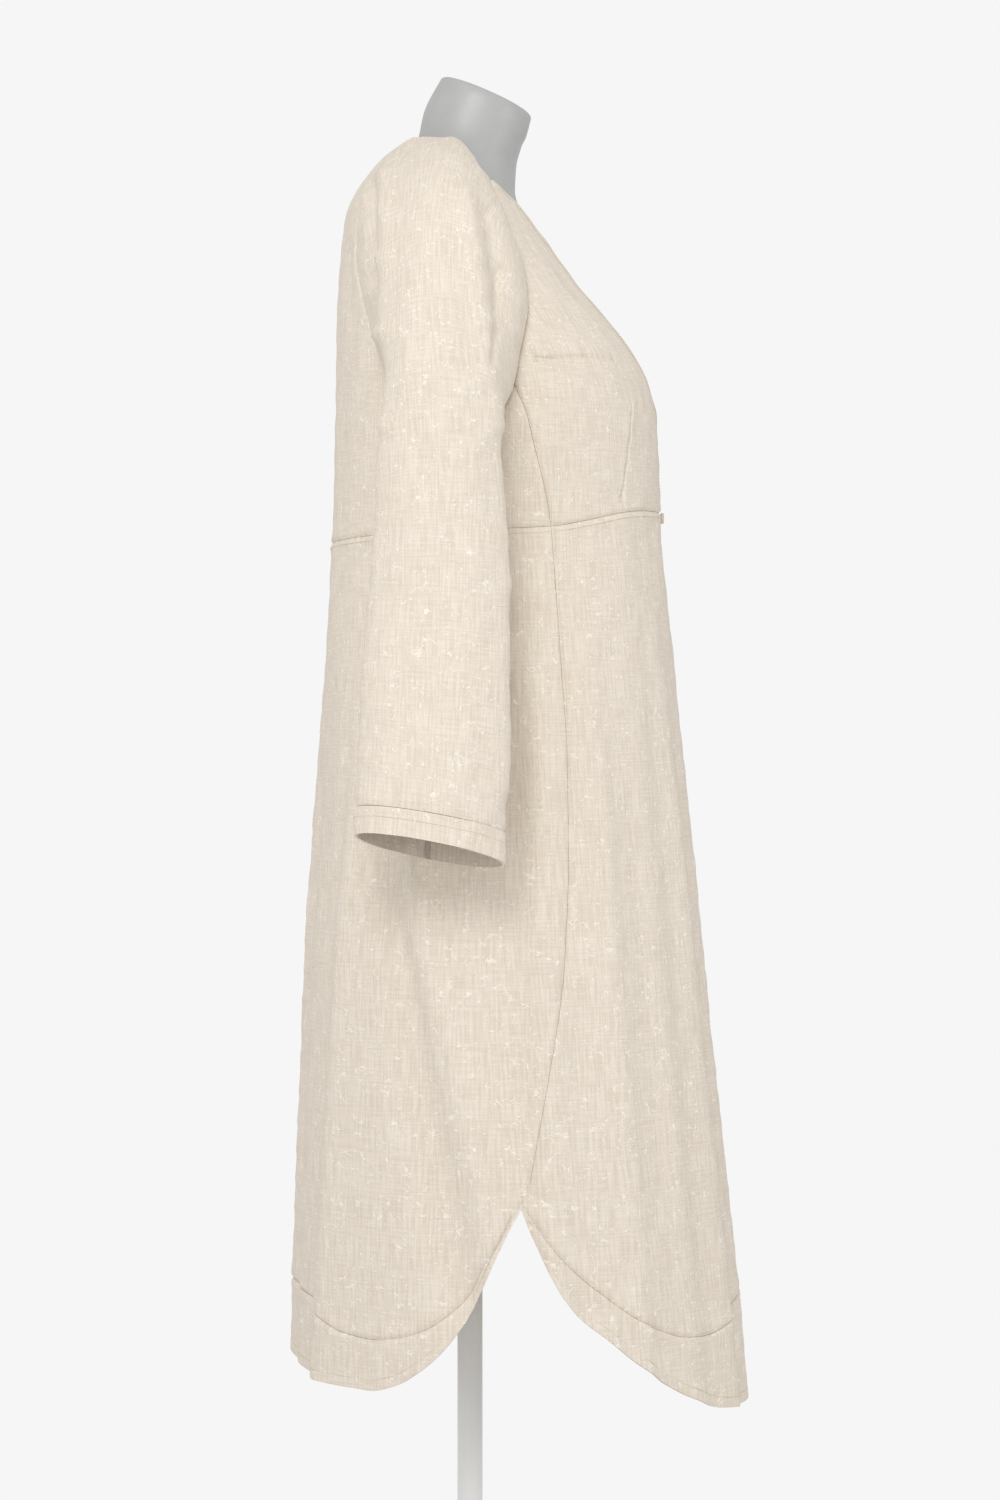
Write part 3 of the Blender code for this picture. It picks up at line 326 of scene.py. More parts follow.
# How finely the panels are divided
CAP_FRONT_ROWS = 42       # from the neck down to the side seam
CAP_UNDER_ROWS = 14       # from the side seam to the lowest point of the armhole
CAP_ROWS = CAP_FRONT_ROWS + CAP_UNDER_ROWS
CAP_TURN_ROWS = 14        # above the side seam, over which the sleeve's rim leaves the body's
TUBE_ROWS = 72
EASE_ROWS = 9             # above and below the cap's end, over which the shape is rounded
EASE_PASSES = 90
SLEEVE_ARC = 44           # columns of each of a row's two arcs
NECK_COLUMNS = 14         # from the back armhole seam to centre back
SIDE_ROWS = 24            # of the side seam above the waist
SKIRT_ROWS = 96           # of the side seam below it
FRONT_EDGE_ROWS = 60      # of the front edge and neckline above the waist
WAIST_BACK_COLUMNS = 54   # of half of the back
WAIST_FRONT_COLUMNS = 40
BAND_BACK_COLUMNS = 72    # of half of the back
BAND_FRONT_COLUMNS = 72
BAND_ROWS = 6             # of the wrist's hem
METRES_PER_DEGREE = 0.0033
WAIST_SIDE_Z = 1.1006
EDGE_STEPS = (0.0012, 0.0028, 0.0052)     # rows of extra places beside a seam, an edge or a dart

# Sewing thread and how it lies
STITCH_PITCH = 0.0034
STITCH_LENGTH = 0.0026
STITCH_WIDTH = 0.0009
STITCH_RISE = 0.0004
STITCH_COUNT = 300        # places along a line of stitches
NECK_STITCHES = (0.0035, 0.009)           # distances of the neck's two rows from its edge
NECK_STITCH_Z = (1.128, 1.438)
WAIST_STITCH_DROP = 0.0055
HEM_STITCH_RISE = 0.010
CUFF_STITCH_RISE = 0.016

# Seams: the panel's edge rolls in to the seam and puffs up beside it
SEAM_ROLL = 0.0015
SEAM_ROLL_WIDTH = 0.0016
SEAM_PUFF = 0.0007
SEAM_PUFF_AT = 0.0045
SEAM_PUFF_WIDTH = 0.0028
DART_DEPTH = 0.0022
DART_WIDTH = 0.0016

# Dress form: neck, shoulders and torso in one smooth body, cut flat under the hips
FORM = table(
    "z half_width front back tilt",
    (0.780, 0.150, -0.120, 0.105, 0.00),
    (0.850, 0.155, -0.128, 0.112, 0.00),
    (0.920, 0.150, -0.128, 0.115, 0.00),
    (1.080, 0.112, -0.115, 0.095, 0.00),
    (1.150, 0.115, -0.135, 0.105, 0.00),
    (1.220, 0.128, -0.160, 0.116, 0.00),
    (1.262, 0.132, -0.150, 0.122, 0.00),
    (1.300, 0.136, -0.130, 0.1274, 0.00),
    (1.339, 0.136, -0.100, 0.1288, 0.00),
    (1.377, 0.130, -0.074, 0.1243, 0.00),
    (1.416, 0.110, -0.054, 0.1168, 0.00),
    (1.443, 0.090, -0.045, 0.1030, 0.00),
    (1.470, 0.070, -0.0465, 0.0800, 0.00),
    (1.488, 0.058, -0.0510, 0.0540, 0.02),
    (1.510, 0.052, -0.0560, 0.0460, 0.24),
    (1.5355, 0.048, -0.0610, 0.0290, 0.433),
)
FORM_COLUMNS = 96
FORM_ROWS = 120

BUTTON_RADIUS = 0.0055
BUTTON_HEIGHT = 0.0035
BUTTON_Z = 1.1165
BUTTON_CLEARANCE = 0.0006

# Camera at the photograph's angle, seen from the wearer's right
CAMERA_AT = (-4.0, -0.030, 0.885)
CAMERA_LENS = 96.0
CAMERA_SENSOR = 36.0

# Where each light stands and how wide it is, and the point that they all face
LIGHTS = {
    "key": ((-3.0, 0.5, 2.6), 1.4),
    "fill": ((-1.8, -2.8, 1.2), 1.8),
    "rim": ((-1.8, 2.8, 1.4), 1.8),
}
LIT_POINT = (0, 0, 0.95)


def smooth(xs, ys, x):
    """Cubic through the table's rows whose slopes are held so that it never overshoots."""
    x = np.asarray(x, dtype=float)
    step = np.diff(xs)
    slope = np.diff(ys) / step
    product = slope[:-1] * slope[1:]
    total = slope[:-1] + slope[1:]
    tangent = np.empty(len(xs))
    tangent[1:-1] = np.where(product > 0, 2 * product / np.where(total == 0, 1, total), 0)
    tangent[0], tangent[-1] = slope[0], slope[-1]
    i = np.clip(np.searchsorted(xs, x) - 1, 0, len(step) - 1)
    t = np.clip((x - xs[i]) / step[i], 0, 1)
    a, b = 2 * t**3 - 3 * t**2 + 1, t**3 - 2 * t**2 + t
    c, d = 3 * t**2 - 2 * t**3, t**3 - t**2
    return a * ys[i] + b * step[i] * tangent[i] + c * ys[i + 1] + d * step[i] * tangent[i + 1]


def column(rows, name, x, by="z"):
    return smooth(rows[by], rows[name], x)


def signed_power(value, power):
    return np.sign(value) * np.abs(value) ** power


def body(angle, z, rows=BODY):
    """Point of the body surface: a superellipse across the section at this height."""
    front, back = column(rows, "front", z), column(rows, "back", z)
    turn = np.radians(angle)
    x = -column(rows, "half_width", z) * signed_power(np.sin(turn), 2 / SECTION_POWER)
    y = (front + back) / 2 - (back - front) / 2 * signed_power(np.cos(turn), 2 / SECTION_POWER)
    return np.stack([x, y, np.broadcast_to(z, x.shape)], axis=-1)


def angle_at_y(y, z):
    """Angle at which the right half of the body's section lies at y."""
    front, back = column(BODY, "front", z), column(BODY, "back", z)
    share = np.clip(((front + back) / 2 - y) / ((back - front) / 2), -1, 1)
    return np.degrees(np.arccos(signed_power(share, SECTION_POWER / 2)))


def angle_at_x(x, z):
    """Angle at which the front of the body's section lies at x."""
    share = np.clip(-x / column(BODY, "half_width", z), -1, 1)
    return np.degrees(np.arcsin(signed_power(share, SECTION_POWER / 2)))


def evenly(rows, count):
    """Angles and heights of count + 1 places, evenly spaced along a seam given by y and z."""
    chord = np.concatenate([[0], np.cumsum(np.hypot(np.diff(rows["y"]), np.diff(rows["z"])))])
    fine = np.linspace(0, chord[-1], 200)
    y, z = smooth(chord, rows["y"], fine), smooth(chord, rows["z"], fine)
    points = body(angle_at_y(y, z), z)
    length = np.concatenate([[0], np.cumsum(np.linalg.norm(np.diff(points, axis=0), axis=1))])
    at = np.interp(np.linspace(0, length[-1], count + 1), length, fine)
    y, z = smooth(chord, rows["y"], at), smooth(chord, rows["z"], at)
    return np.stack([angle_at_y(y, z), z], axis=-1)


def armhole():
    """Seam from the front neck under the arm to the back neck, 2 * CAP_ROWS + 1 places."""
    front = evenly(ARMHOLE_FRONT, CAP_FRONT_ROWS)
    under = evenly(ARMHOLE_UNDER, CAP_UNDER_ROWS)
    back = evenly(ARMHOLE_BACK, CAP_ROWS)
    return np.concatenate([front, under[1:], back[1:]])


def side_seam(z):
    return angle_at_y(column(SIDE_SEAM, "y", z), z)


def body_normal(angle, z):
    """Outward unit normal of the body surface, from its two tangents."""
    half_turn, half_rise = 0.5, 0.002
    low, high = np.maximum(z - half_rise, BODY["z"][0]), np.minimum(z + half_rise, BODY["z"][-1])
    around = body(angle + half_turn, z) - body(angle - half_turn, z)
    n = np.cross(body(angle, high) - body(angle, low), around)
    return n / np.linalg.norm(n, axis=-1, keepdims=True)


def lay(angle, z, out=0.0):
    """Points of a panel, moved out of the body surface, and their outward directions."""
    z = np.broadcast_to(z, np.shape(angle))
    n = body_normal(angle, z)
    return body(angle, z) + n * np.asarray(out)[..., None], n


def grid_normals(grid):
    """Unit normals of any grid of points, from its two tangents."""
    n = np.cross(np.gradient(grid, axis=0), np.gradient(grid, axis=1))
    return n / np.maximum(np.linalg.norm(n, axis=-1, keepdims=True), 1e-12)


def folds(angle, z, rows=FOLDS):
    """Height of the skirt's folds: each is a bell across its path, faded in below its top."""
    total = np.zeros(np.broadcast(angle, z).shape)
    for top_angle, low_angle, top_z, low_z, spread, rise in zip(*rows.values()):
        down = np.clip((top_z - z) / (top_z - low_z), 0, None)
        centre = top_angle + (low_angle - top_angle) * np.minimum(down, 1.3)
        fade = np.clip(down / 0.45, 0, 1)
        fade = fade * fade * (3 - 2 * fade)
        off = (angle - centre + 180) % 360 - 180
        total += rise * fade * np.exp(-(off / spread) ** 2)
    return total


def lap(angle, z):
    """Depth by which the left front lies under the right one, near centre front."""
    x = body(angle, z)[..., 0]
    near = np.clip((LAP_START - np.abs(x)) / LAP_FADE, 0, 1)
    return (BAND + LAP_GAP) * near * near * (3 - 2 * near)


# ---- Panels: outlines of places (angle, height) on the body --------------------------------

def run(angle, z, seam=True):
    """A stretch of a panel's outline, and whether another panel is sewn on there."""
    angle, z = np.broadcast_arrays(np.asarray(angle, dtype=float), np.asarray(z, dtype=float))
    return np.stack([angle, z], axis=-1), seam


def joined(*runs):
    """Closed outline of runs that follow each other, and the seam flag of each of its edges."""
    places = np.concatenate([places[:-1] for places, _ in runs])
    flags = np.concatenate([np.full(len(places) - 1, seam) for places, seam in runs])
    return places, flags


def reversed_run(stretch):
    return stretch[0][::-1], stretch[1]


def other_side(stretch):
    """The same stretch on the body's left half, in the opposite order."""
    return (stretch[0] * [-1, 1] + [360, 0])[::-1], stretch[1]


def armhole_run(first, last):
    places = armhole()[first:last + 1]
    return run(places[:, 0], places[:, 1])


def side_run(low, high, count):
    z = np.linspace(low, high, count + 1)
    return run(np.where(z == NOTCH_HEIGHT, NOTCH_ANGLE, side_seam(z)), z)


def waist_run(first, last, count):
    angle = np.linspace(first, last, count + 1)
    return run(angle, column(WAIST, "z", angle, by="angle"))


def edge_run(low, high, count):
    """Free front edge: the opening below, the neckline above."""
    z = np.linspace(low, high, count + 1)
    return run(angle_at_x(column(FRONT_EDGE, "x", z), z), z, seam=False)


def band_run(rows, first, last, count, seam=True, gather=1.6):
    """Seam or free edge of a hem band from the side notch, its places closer at the notch."""
    angle = first + (last - first) * np.linspace(0, 1, count + 1) ** gather
    return run(angle, column(rows, "z", angle, by="angle"), seam)


def waist_edge():
    z = WAIST["z"][0]
    return float(angle_at_x(column(FRONT_EDGE, "x", z), z))


def low_edge(z):
    return float(angle_at_x(FRONT_EDGE["x"][0], z))


def back_bodice():
    neck = run(np.linspace(armhole()[-1][0], 180, NECK_COLUMNS + 1), BODY["z"][-1], seam=False)
    neck[0][0, 1] = armhole()[-1][1]
    right = [side_run(WAIST_SIDE_Z, ARMHOLE_FRONT["z"][-1], SIDE_ROWS),
             armhole_run(CAP_FRONT_ROWS, 2 * CAP_ROWS), neck]
    left = [other_side(stretch) for stretch in reversed(right)]
    low = waist_run(side_seam(WAIST_SIDE_Z), 180, WAIST_BACK_COLUMNS)
    return joined(*right, *left, reversed_run(other_side(low)), reversed_run(low))


def front_bodice():
    raglan = armhole_run(0, CAP_FRONT_ROWS)
    side = side_run(WAIST_SIDE_Z, ARMHOLE_FRONT["z"][-1], SIDE_ROWS)
    edge = edge_run(WAIST["z"][0], FRONT_EDGE["z"][-1], FRONT_EDGE_ROWS)
    top = run([edge[0][-1, 0], raglan[0][0, 0]], FRONT_EDGE["z"][-1], seam=False)
    return joined(waist_run(side_seam(WAIST_SIDE_Z), waist_edge(), WAIST_FRONT_COLUMNS),
                  edge, top, raglan, reversed_run(side))


def back_skirt():
    side = side_run(WAIST_SIDE_Z, NOTCH_HEIGHT, SKIRT_ROWS)
    waist = waist_run(side_seam(WAIST_SIDE_Z), 180, WAIST_BACK_COLUMNS)
    band = band_run(BACK_BAND_SEAM, NOTCH_ANGLE, 180, BAND_BACK_COLUMNS)
    return joined(side, band, other_side(band), other_side(side),
                  reversed_run(other_side(waist)), reversed_run(waist))


def front_skirt():
    side = side_run(WAIST_SIDE_Z, NOTCH_HEIGHT, SKIRT_ROWS)
    low = low_edge(FRONT_BAND_SEAM["z"][0])
    band = band_run(FRONT_BAND_SEAM, NOTCH_ANGLE, low, BAND_FRONT_COLUMNS)
    edge = run(np.linspace(low, waist_edge(), SKIRT_ROWS + 1),
               np.linspace(band[0][-1, 1], WAIST["z"][0], SKIRT_ROWS + 1), seam=False)
    waist = waist_run(side_seam(WAIST_SIDE_Z), waist_edge(), WAIST_FRONT_COLUMNS)
    return joined(side, band, edge, reversed_run(waist))


def back_hem_band():
    band = band_run(BACK_BAND_SEAM, NOTCH_ANGLE, 180, BAND_BACK_COLUMNS)
    hem = band_run(BACK_HEM, NOTCH_ANGLE, 180, BAND_BACK_COLUMNS, seam=False)
    end = run(NOTCH_ANGLE, [NOTCH_HEIGHT - BAND_END, NOTCH_HEIGHT])
    hem[0][0, 1] = NOTCH_HEIGHT - BAND_END
    return joined(end, band, other_side(band), other_side(end),
                  reversed_run(other_side(hem)), reversed_run(hem))


def front_hem_band():
    low = low_edge(FRONT_BAND_SEAM["z"][0])
    band = band_run(FRONT_BAND_SEAM, NOTCH_ANGLE, low, BAND_FRONT_COLUMNS)
    hem = band_run(FRONT_HEM, NOTCH_ANGLE, low, BAND_FRONT_COLUMNS, seam=False)
    hem[0][0, 1] = NOTCH_HEIGHT - BAND_END
    end = run(NOTCH_ANGLE, [NOTCH_HEIGHT - BAND_END, NOTCH_HEIGHT])
    edge = run(low, np.linspace(band[0][-1, 1], hem[0][-1, 1], 3), seam=False)
    return joined(end, band, edge, reversed_run(hem))


def turning(places):
    """1 for an outline that runs up its last angles and down its first ones, -1 for the reverse."""
    nxt = np.roll(places, -1, axis=0)
    return np.sign(np.sum(places[:, 0] * nxt[:, 1] - nxt[:, 0] * places[:, 1]))


def inset(points, n, flags, turn):
    """Shift of each outline point that takes the outline's seam edges inwards along the panel."""
    edge = np.roll(points, -1, axis=0) - points
    edge /= np.linalg.norm(edge, axis=-1, keepdims=True)
    after = turn * np.cross(edge, n)
    before = np.roll(after, 1, axis=0)
    wide_after = np.where(flags, SEAM_GAP / 2, 0.0)
    wide_before = np.roll(wide_after, 1)
    both = np.sum(before * after, axis=-1)
    spread = np.maximum(1 - both**2, 0.05)
    a = (wide_after - both * wide_before) / spread
    b = (wide_before - both * wide_after) / spread
    straight = both > 0.97
    a = np.where(straight, wide_after / 2, a)
    b = np.where(straight, wide_before / 2, b)
    return a[:, None] * after + b[:, None] * before


def bezier(p0, p1, p2, p3, t):
    return (1 - t)**3 * p0 + 3 * (1 - t)**2 * t * p1 + 3 * (1 - t) * t**2 * p2 + t**3 * p3


def sleeve_row(front, back, crown, lead_front, lead_back, reach_front, reach_back):
    """One row of the sleeve: seam to crown and crown to seam, two cubic arcs."""
    t = np.linspace(0, 1, SLEEVE_ARC + 1)[:, None]
    forward = np.array([0.0, -1.0, 0.0])
    first = bezier(front, front + lead_front, crown + reach_front * forward, crown, t)
    second = bezier(crown, crown - reach_back * forward, back + lead_back, back, t)
    return np.concatenate([first, second[1:]])


def cap_rows():
    hole = armhole()
    points = body(hole[:, 0], hole[:, 1])
    rows = []
    for i in range(CAP_ROWS):
        at = {name: column(CAP, name, i / CAP_ROWS, by="row") for name in CAP if name != "row"}
        crown = np.array([at["crown_x"], at["crown_y"], at["crown_z"]])
        lead_front = np.array([at["lead_fx"], at["lead_fy"], at["lead_fz"]])
        lead_back = np.array([at["lead_bx"], at["lead_by"], at["lead_bz"]])
        rows.append(sleeve_row(points[i], points[-1 - i], crown, lead_front, lead_back,
                               at["reach_f"], at["reach_b"]))
    return rows


def tube_row(crown_z):
    """A closed row of the sleeve: two half ovals, tilted down towards the front."""
    at = {name: float(column(TUBE, name, crown_z, by="crown_z")) for name in TUBE}
    middle = (at["front"] + at["back"]) / 2
    inner = np.array([at["inner_x"], at["inner_y"], at["inner_z"]])
    crown = np.array([at["outer_x"], middle, crown_z])
    lead_front = np.array([at["splay"], 4 / 3 * (at["front"] - at["inner_y"]), 0])
    lead_back = np.array([at["splay"], 4 / 3 * (at["back"] - at["inner_y"]), 0])
    reach_front, reach_back = 4 / 3 * (middle - at["front"]), 4 / 3 * (at["back"] - middle)
    row = sleeve_row(inner, inner, crown, lead_front, lead_back, reach_front, reach_back)
    row[:, 2] += at["tilt"] * (row[:, 1] - middle)
    return row


# ---- Detail: creases, seams and the lattice between the seams --------------------------------

def creases(angle, z):
    """Height of the body's small creases: each a bell across and along its own line."""
    total = np.zeros(np.shape(angle))
    for at, height, lean, length, width, rise in zip(*CREASES.values()):
        across = ((angle - at + 180) % 360 - 180) * METRES_PER_DEGREE
        up = z - height
        turn = np.radians(lean)
        along = up * np.cos(turn) + across * np.sin(turn)
        beside = across * np.cos(turn) - up * np.sin(turn) + 0.10 * along * np.abs(along) / length
        total += rise * np.exp(-(along / length) ** 2 - (beside / width) ** 2)
    return total


def waviness(u, v):
    """Slow unevenness of the cloth: a few crossing waves whose lengths share no common measure."""
    return (0.0006 * np.sin(61 * u + 2.1 * np.sin(17 * v)) * np.sin(23 * v + 1.7)
            + 0.0004 * np.sin(127 * u + 41 * v + 2.3 * np.sin(31 * v))
            + 0.0003 * np.sin(211 * v + 1.9 * np.sin(73 * u)))


def nearest(points, start, end):
    """Distance from each point to the nearest of the segments, and which segment that is."""
    span = end - start
    size = np.maximum(np.sum(span**2, axis=-1), 1e-14)
    best, which = np.full(len(points), np.inf), np.zeros(len(points), dtype=int)
    for block in np.array_split(np.arange(len(points)), max(1, len(points) // 2000)):
        t = np.clip(np.sum((points[block, None] - start) * span, axis=-1) / size, 0, 1)
        gap = np.linalg.norm(points[block, None] - start - t[..., None] * span, axis=-1)
        which[block] = np.argmin(gap, axis=1)
        best[block] = np.min(gap, axis=1)
    return best, which


def beside(start, end, distance):
    """Places on both sides of each segment's middle, at that distance."""
    span = end - start
    aside = np.stack([-span[:, 1], span[:, 0]], axis=-1)
    aside /= np.linalg.norm(aside, axis=-1, keepdims=True)
    middle = (start + end) / 2
    return np.concatenate([middle + distance * aside, middle - distance * aside])


def inside(points, start, end):
    """Whether each point is inside the outline: a level line from it crosses an odd number."""
    x, y = points[:, 0, None], points[:, 1, None]
    crosses = (start[:, 1] > y) != (end[:, 1] > y)
    rise = np.where(end[:, 1] == start[:, 1], 1, end[:, 1] - start[:, 1])
    return np.sum(crosses & (x < start[:, 0] + (y - start[:, 1]) / rise * (end[:, 0] - start[:, 0])),
                  axis=1) % 2 == 1


def filled(places, step, darts):
    """Places of an outline, of rows close beside it and beside the darts, and of a staggered
    lattice in between, with the triangles between them all."""
    scale = np.array([METRES_PER_DEGREE, 1.0])
    edge = places * scale
    after = np.roll(edge, -1, axis=0)
    low, high = edge.min(axis=0), edge.max(axis=0)
    columns, rows = np.meshgrid(np.arange(low[0], high[0], step), np.arange(low[1], high[1], 0.9 * step))
    columns[1::2] += step / 2
    lattice = np.stack([columns.ravel(), rows.ravel()], axis=-1)
    lattice = lattice[inside(lattice, edge, after)]
    start, end = edge, after
    extra = []
    for dart in darts:
        line = dart * scale
        extra.append(line)
        start, end = np.concatenate([start, line[:-1]]), np.concatenate([end, line[1:]])
    for distance in EDGE_STEPS:
        near = beside(start, end, distance)
        near = near[inside(near, edge, after)]
        near = near[nearest(near, start, end)[0] > 0.9 * distance]
        extra.append(near)
    lattice = lattice[nearest(lattice, start, end)[0] > EDGE_STEPS[-1] + 0.45 * step]
    points = np.concatenate([edge, *extra, lattice])
    cut = geometry.delaunay_2d_cdt([Vector(p) for p in points.tolist()], [],
                                   [list(range(len(edge)))], 1, 1e-7)
    origin = [entry[0] for entry in cut[3]]
    triangles = np.array([[origin[i] for i in face] for face in cut[2]])
    return points / scale, triangles


def bell(distance, width):
    return np.exp(-(distance / width) ** 2)


def seam_relief(points, edge, flags, darts):
    """Height beside seams, free edges and darts: seams and darts sink, with a puff beside them,
    and free edges stand up by the cloth that is turned in behind them."""
    after = np.roll(edge, -1, axis=0)
    gap, which = nearest(points, edge, after)
    sewn = flags[which]
    wave = 1 + 0.5 * np.sin(points[:, 0] * 410) * np.sin(points[:, 1] * 370)
    height = np.where(sewn, SEAM_PUFF * wave * bell(gap - SEAM_PUFF_AT, SEAM_PUFF_WIDTH)
                      - SEAM_ROLL * bell(gap, SEAM_ROLL_WIDTH), 0)
    height += np.where(~sewn, 0.0005 * bell(np.maximum(gap - 0.006, 0), 0.002)
                       - 0.0004 * bell(gap, 0.001), 0)
    for dart in darts:
        gap = nearest(points, dart[:-1], dart[1:])[0]
        height += SEAM_PUFF * wave * bell(gap - SEAM_PUFF_AT, SEAM_PUFF_WIDTH)
        height -= DART_DEPTH * bell(gap, DART_WIDTH)
    return height


# ---- Meshes ------------------------------------------------------------------------------------

def volume(points, triangles):
    a, b, c = (points[triangles[:, i]] for i in range(3))
    return np.sum(a * np.cross(b, c)) / 6


def make_object(name, points, faces, uv=None, smooth_angle=40):
    """One object from points and triangles or quads, with UVs in metres given for each point."""
    mesh = bpy.data.meshes.new(name)
    corners = np.concatenate([np.ravel(face) for face in faces]).astype(np.int32)
    sizes = np.concatenate([np.full(len(face), face.shape[1]) for face in faces])
    mesh.vertices.add(len(points))
    mesh.vertices.foreach_set("co", np.asarray(points, dtype=np.float32).ravel())
    mesh.loops.add(len(corners))
    mesh.loops.foreach_set("vertex_index", corners)
    mesh.polygons.add(len(sizes))
    starts = np.concatenate([[0], np.cumsum(sizes)[:-1]]).astype(np.int32)
    mesh.polygons.foreach_set("loop_start", starts)
    mesh.update(calc_edges=True)
    if uv is not None:
        layer = mesh.uv_layers.new(name="cloth")
        layer.data.foreach_set("uv", np.asarray(uv, dtype=np.float32)[corners].ravel())
    mesh.shade_smooth()
    mesh.set_sharp_from_angle(angle=np.radians(smooth_angle))
    if mesh.validate():
        raise ValueError(name + " has faces that the mesh check had to drop")
    made = bpy.data.objects.new(name, mesh)
    bpy.context.scene.collection.objects.link(made)
    return made


def shell(name, outer, inner, triangles, rim, uv):
    """Closed wall: the outer skin, the inner one facing the other way and the rim between."""
    count = len(outer)
    points = np.concatenate([outer, inner])
    behind = rim[:, ::-1] + count
    quads = np.concatenate([rim, behind], axis=1)
    skins = np.concatenate([triangles, triangles[:, ::-1] + count])
    halves = np.concatenate([skins, quads[:, :3], quads[:, [0, 2, 3]]])
    if volume(points - points.mean(axis=0), halves) < 0:
        skins, quads = skins[:, ::-1], quads[:, ::-1]
    return make_object(name, points, [skins, quads], np.concatenate([uv, uv]))


def body_panel(name, outline, step, wall=CLOTH, out=0.0, side=1, under=False, darts=()):
    """A cloth panel of the body. Side is -1 for the left one of a pair, which is the right one
    mirrored, and under tells whether it lies beneath the other front."""
    places, flags = outline
    darts = [np.stack([np.interp(np.linspace(0, 1, 24), np.linspace(0, 1, len(d["z"])), d[key])
                       for key in ("angle", "z")], axis=-1) for d in darts]
    edge = len(flags)
    ring = places * [METRES_PER_DEGREE, 1]
    places, triangles = filled(places, step, darts)
    angle, z = places.T
    flat = places * [METRES_PER_DEGREE, 1]
    rise = folds(side * angle, z) + folds(side * angle, z, CRESTS) + out - lap(angle, z) * under
    rise += creases(side * angle, z) + waviness(side * flat[:, 0], z)
    rise += seam_relief(flat, ring, flags, [dart * [METRES_PER_DEGREE, 1] for dart in darts])
    outer, n = lay(angle, z, rise)
    outer[:edge] += inset(outer[:edge], n[:edge], flags, turning(places[:edge]))
    flip = np.array([side, 1.0, 1.0])
    rim = np.stack([np.arange(edge), np.roll(np.arange(edge), -1)], axis=-1)
    if turning(places[:edge]) < 0:
        rim = rim[:, ::-1]
    return shell(name, outer * flip, (outer - wall * n) * flip, oriented(flat, triangles), rim, flat)


def oriented(flat, triangles):
    """The triangles, each turned the same way round in the flat."""
    a, b, c = (flat[triangles[:, i]] for i in range(3))
    cross = (b - a)[:, 0] * (c - a)[:, 1] - (b - a)[:, 1] * (c - a)[:, 0]
    return np.where(cross[:, None] > 0, triangles, triangles[:, ::-1])


def sleeve_relief(points, n, side):
    """Height of a sleeve's folds: rise * bell about the fold's line * how far n faces sideways."""
    y, z = points[..., 1], points[..., 2]
    tube = np.clip(z, TUBE["crown_z"][0], TUBE["crown_z"][-1])
    middle = (column(TUBE, "inner_x", tube, by="crown_z") + column(TUBE, "outer_x", tube, by="crown_z")) / 2
    hidden = np.clip((points[..., 0] - middle) / 0.012 + 0.5, 0, 1)
    hidden = hidden * np.clip((TUBE["crown_z"][-1] - z) / 0.06, 0, 1) * np.clip(n[..., 0] / 0.35, 0, 1)
    facing = np.clip(-n[..., 0] / 0.2, 0, 1)
    total = np.zeros(y.shape)
    for y0, z0, y1, z1, width, rise, inner in zip(*SLEEVE_FOLDS.values()):
        span = np.array([y1 - y0, z1 - z0])
        reach = ((y - y0) * span[0] + (z - z0) * span[1]) / np.sum(span**2)
        t = np.clip(reach, 0, 1)
        gap = np.hypot(y - y0 - t * span[0], z - z0 - t * span[1])
        tail = np.clip(1 - np.abs(reach - t) * np.linalg.norm(span) / 0.03, 0, 1)
        shown = hidden if inner else facing
        total += rise * shown * tail * bell(gap, width)
    return total + waviness(y * 1.3 + 0.7 * side, z) * 1.2


def eased(grid):
    """The sleeve's rows with the turn from cap to tube rounded: each place moves towards the
    middle of the rows above and below, most at the joint and not at all along the seam."""
    rows = np.exp(-((np.arange(len(grid)) - CAP_ROWS) / EASE_ROWS) ** 2)[1:-1, None]
    rim = np.linspace(0, 1, grid.shape[1])
    share = 0.5 * rows * np.clip(np.minimum(rim, 1 - rim) * 12, 0, 1)[None, :]
    for _ in range(EASE_PASSES):
        middle = (grid[:-2] + grid[2:]) / 2
        grid[1:-1] += share[..., None] * (middle - grid[1:-1])
    return grid


def sleeve():
    """Grid of the sleeve from the neck to the cuff, and its outward directions.

    Its last TUBE_ROWS + 1 rows are closed. Along the armhole the outward directions are the
    body's, and they turn to the sleeve's own under the arm.
    """
    wrist = TUBE["crown_z"][0] + CUFF_DEPTH + 2 * SEAM_GAP
    heights = np.linspace(TUBE["crown_z"][-1], wrist, TUBE_ROWS + 1)
    grid = eased(np.array(cap_rows() + [tube_row(z) for z in heights]))
    wrapped = np.concatenate([grid[:, -2:-1], grid, grid[:, 1:2]], axis=1)
    n = -grid_normals(grid)
    n[CAP_ROWS:] = -grid_normals(wrapped)[CAP_ROWS:, 1:-1]
    n[-1, :, 2] = 0
    n[-1] /= np.linalg.norm(n[-1], axis=-1, keepdims=True)
    hole = armhole()
    of_body = body_normal(hole[:, 0], hole[:, 1])
    share = np.clip((CAP_FRONT_ROWS - np.arange(CAP_ROWS)) / CAP_TURN_ROWS, 0, 1)[:, None]
    for edge, body_side in ((0, of_body[:CAP_ROWS]), (-1, of_body[:CAP_ROWS:-1])):
        mixed = share * body_side + (1 - share) * n[:CAP_ROWS, edge]
        n[:CAP_ROWS, edge] = mixed / np.linalg.norm(mixed, axis=-1, keepdims=True)
    for edge, neighbour in ((0, 1), (-1, -2)):
        across = grid[:CAP_ROWS, neighbour] - grid[:CAP_ROWS, edge]
        across /= np.maximum(np.linalg.norm(across, axis=-1, keepdims=True), 1e-12)
        grid[:CAP_ROWS, edge] += across * SEAM_GAP * 0.6
    return grid, n


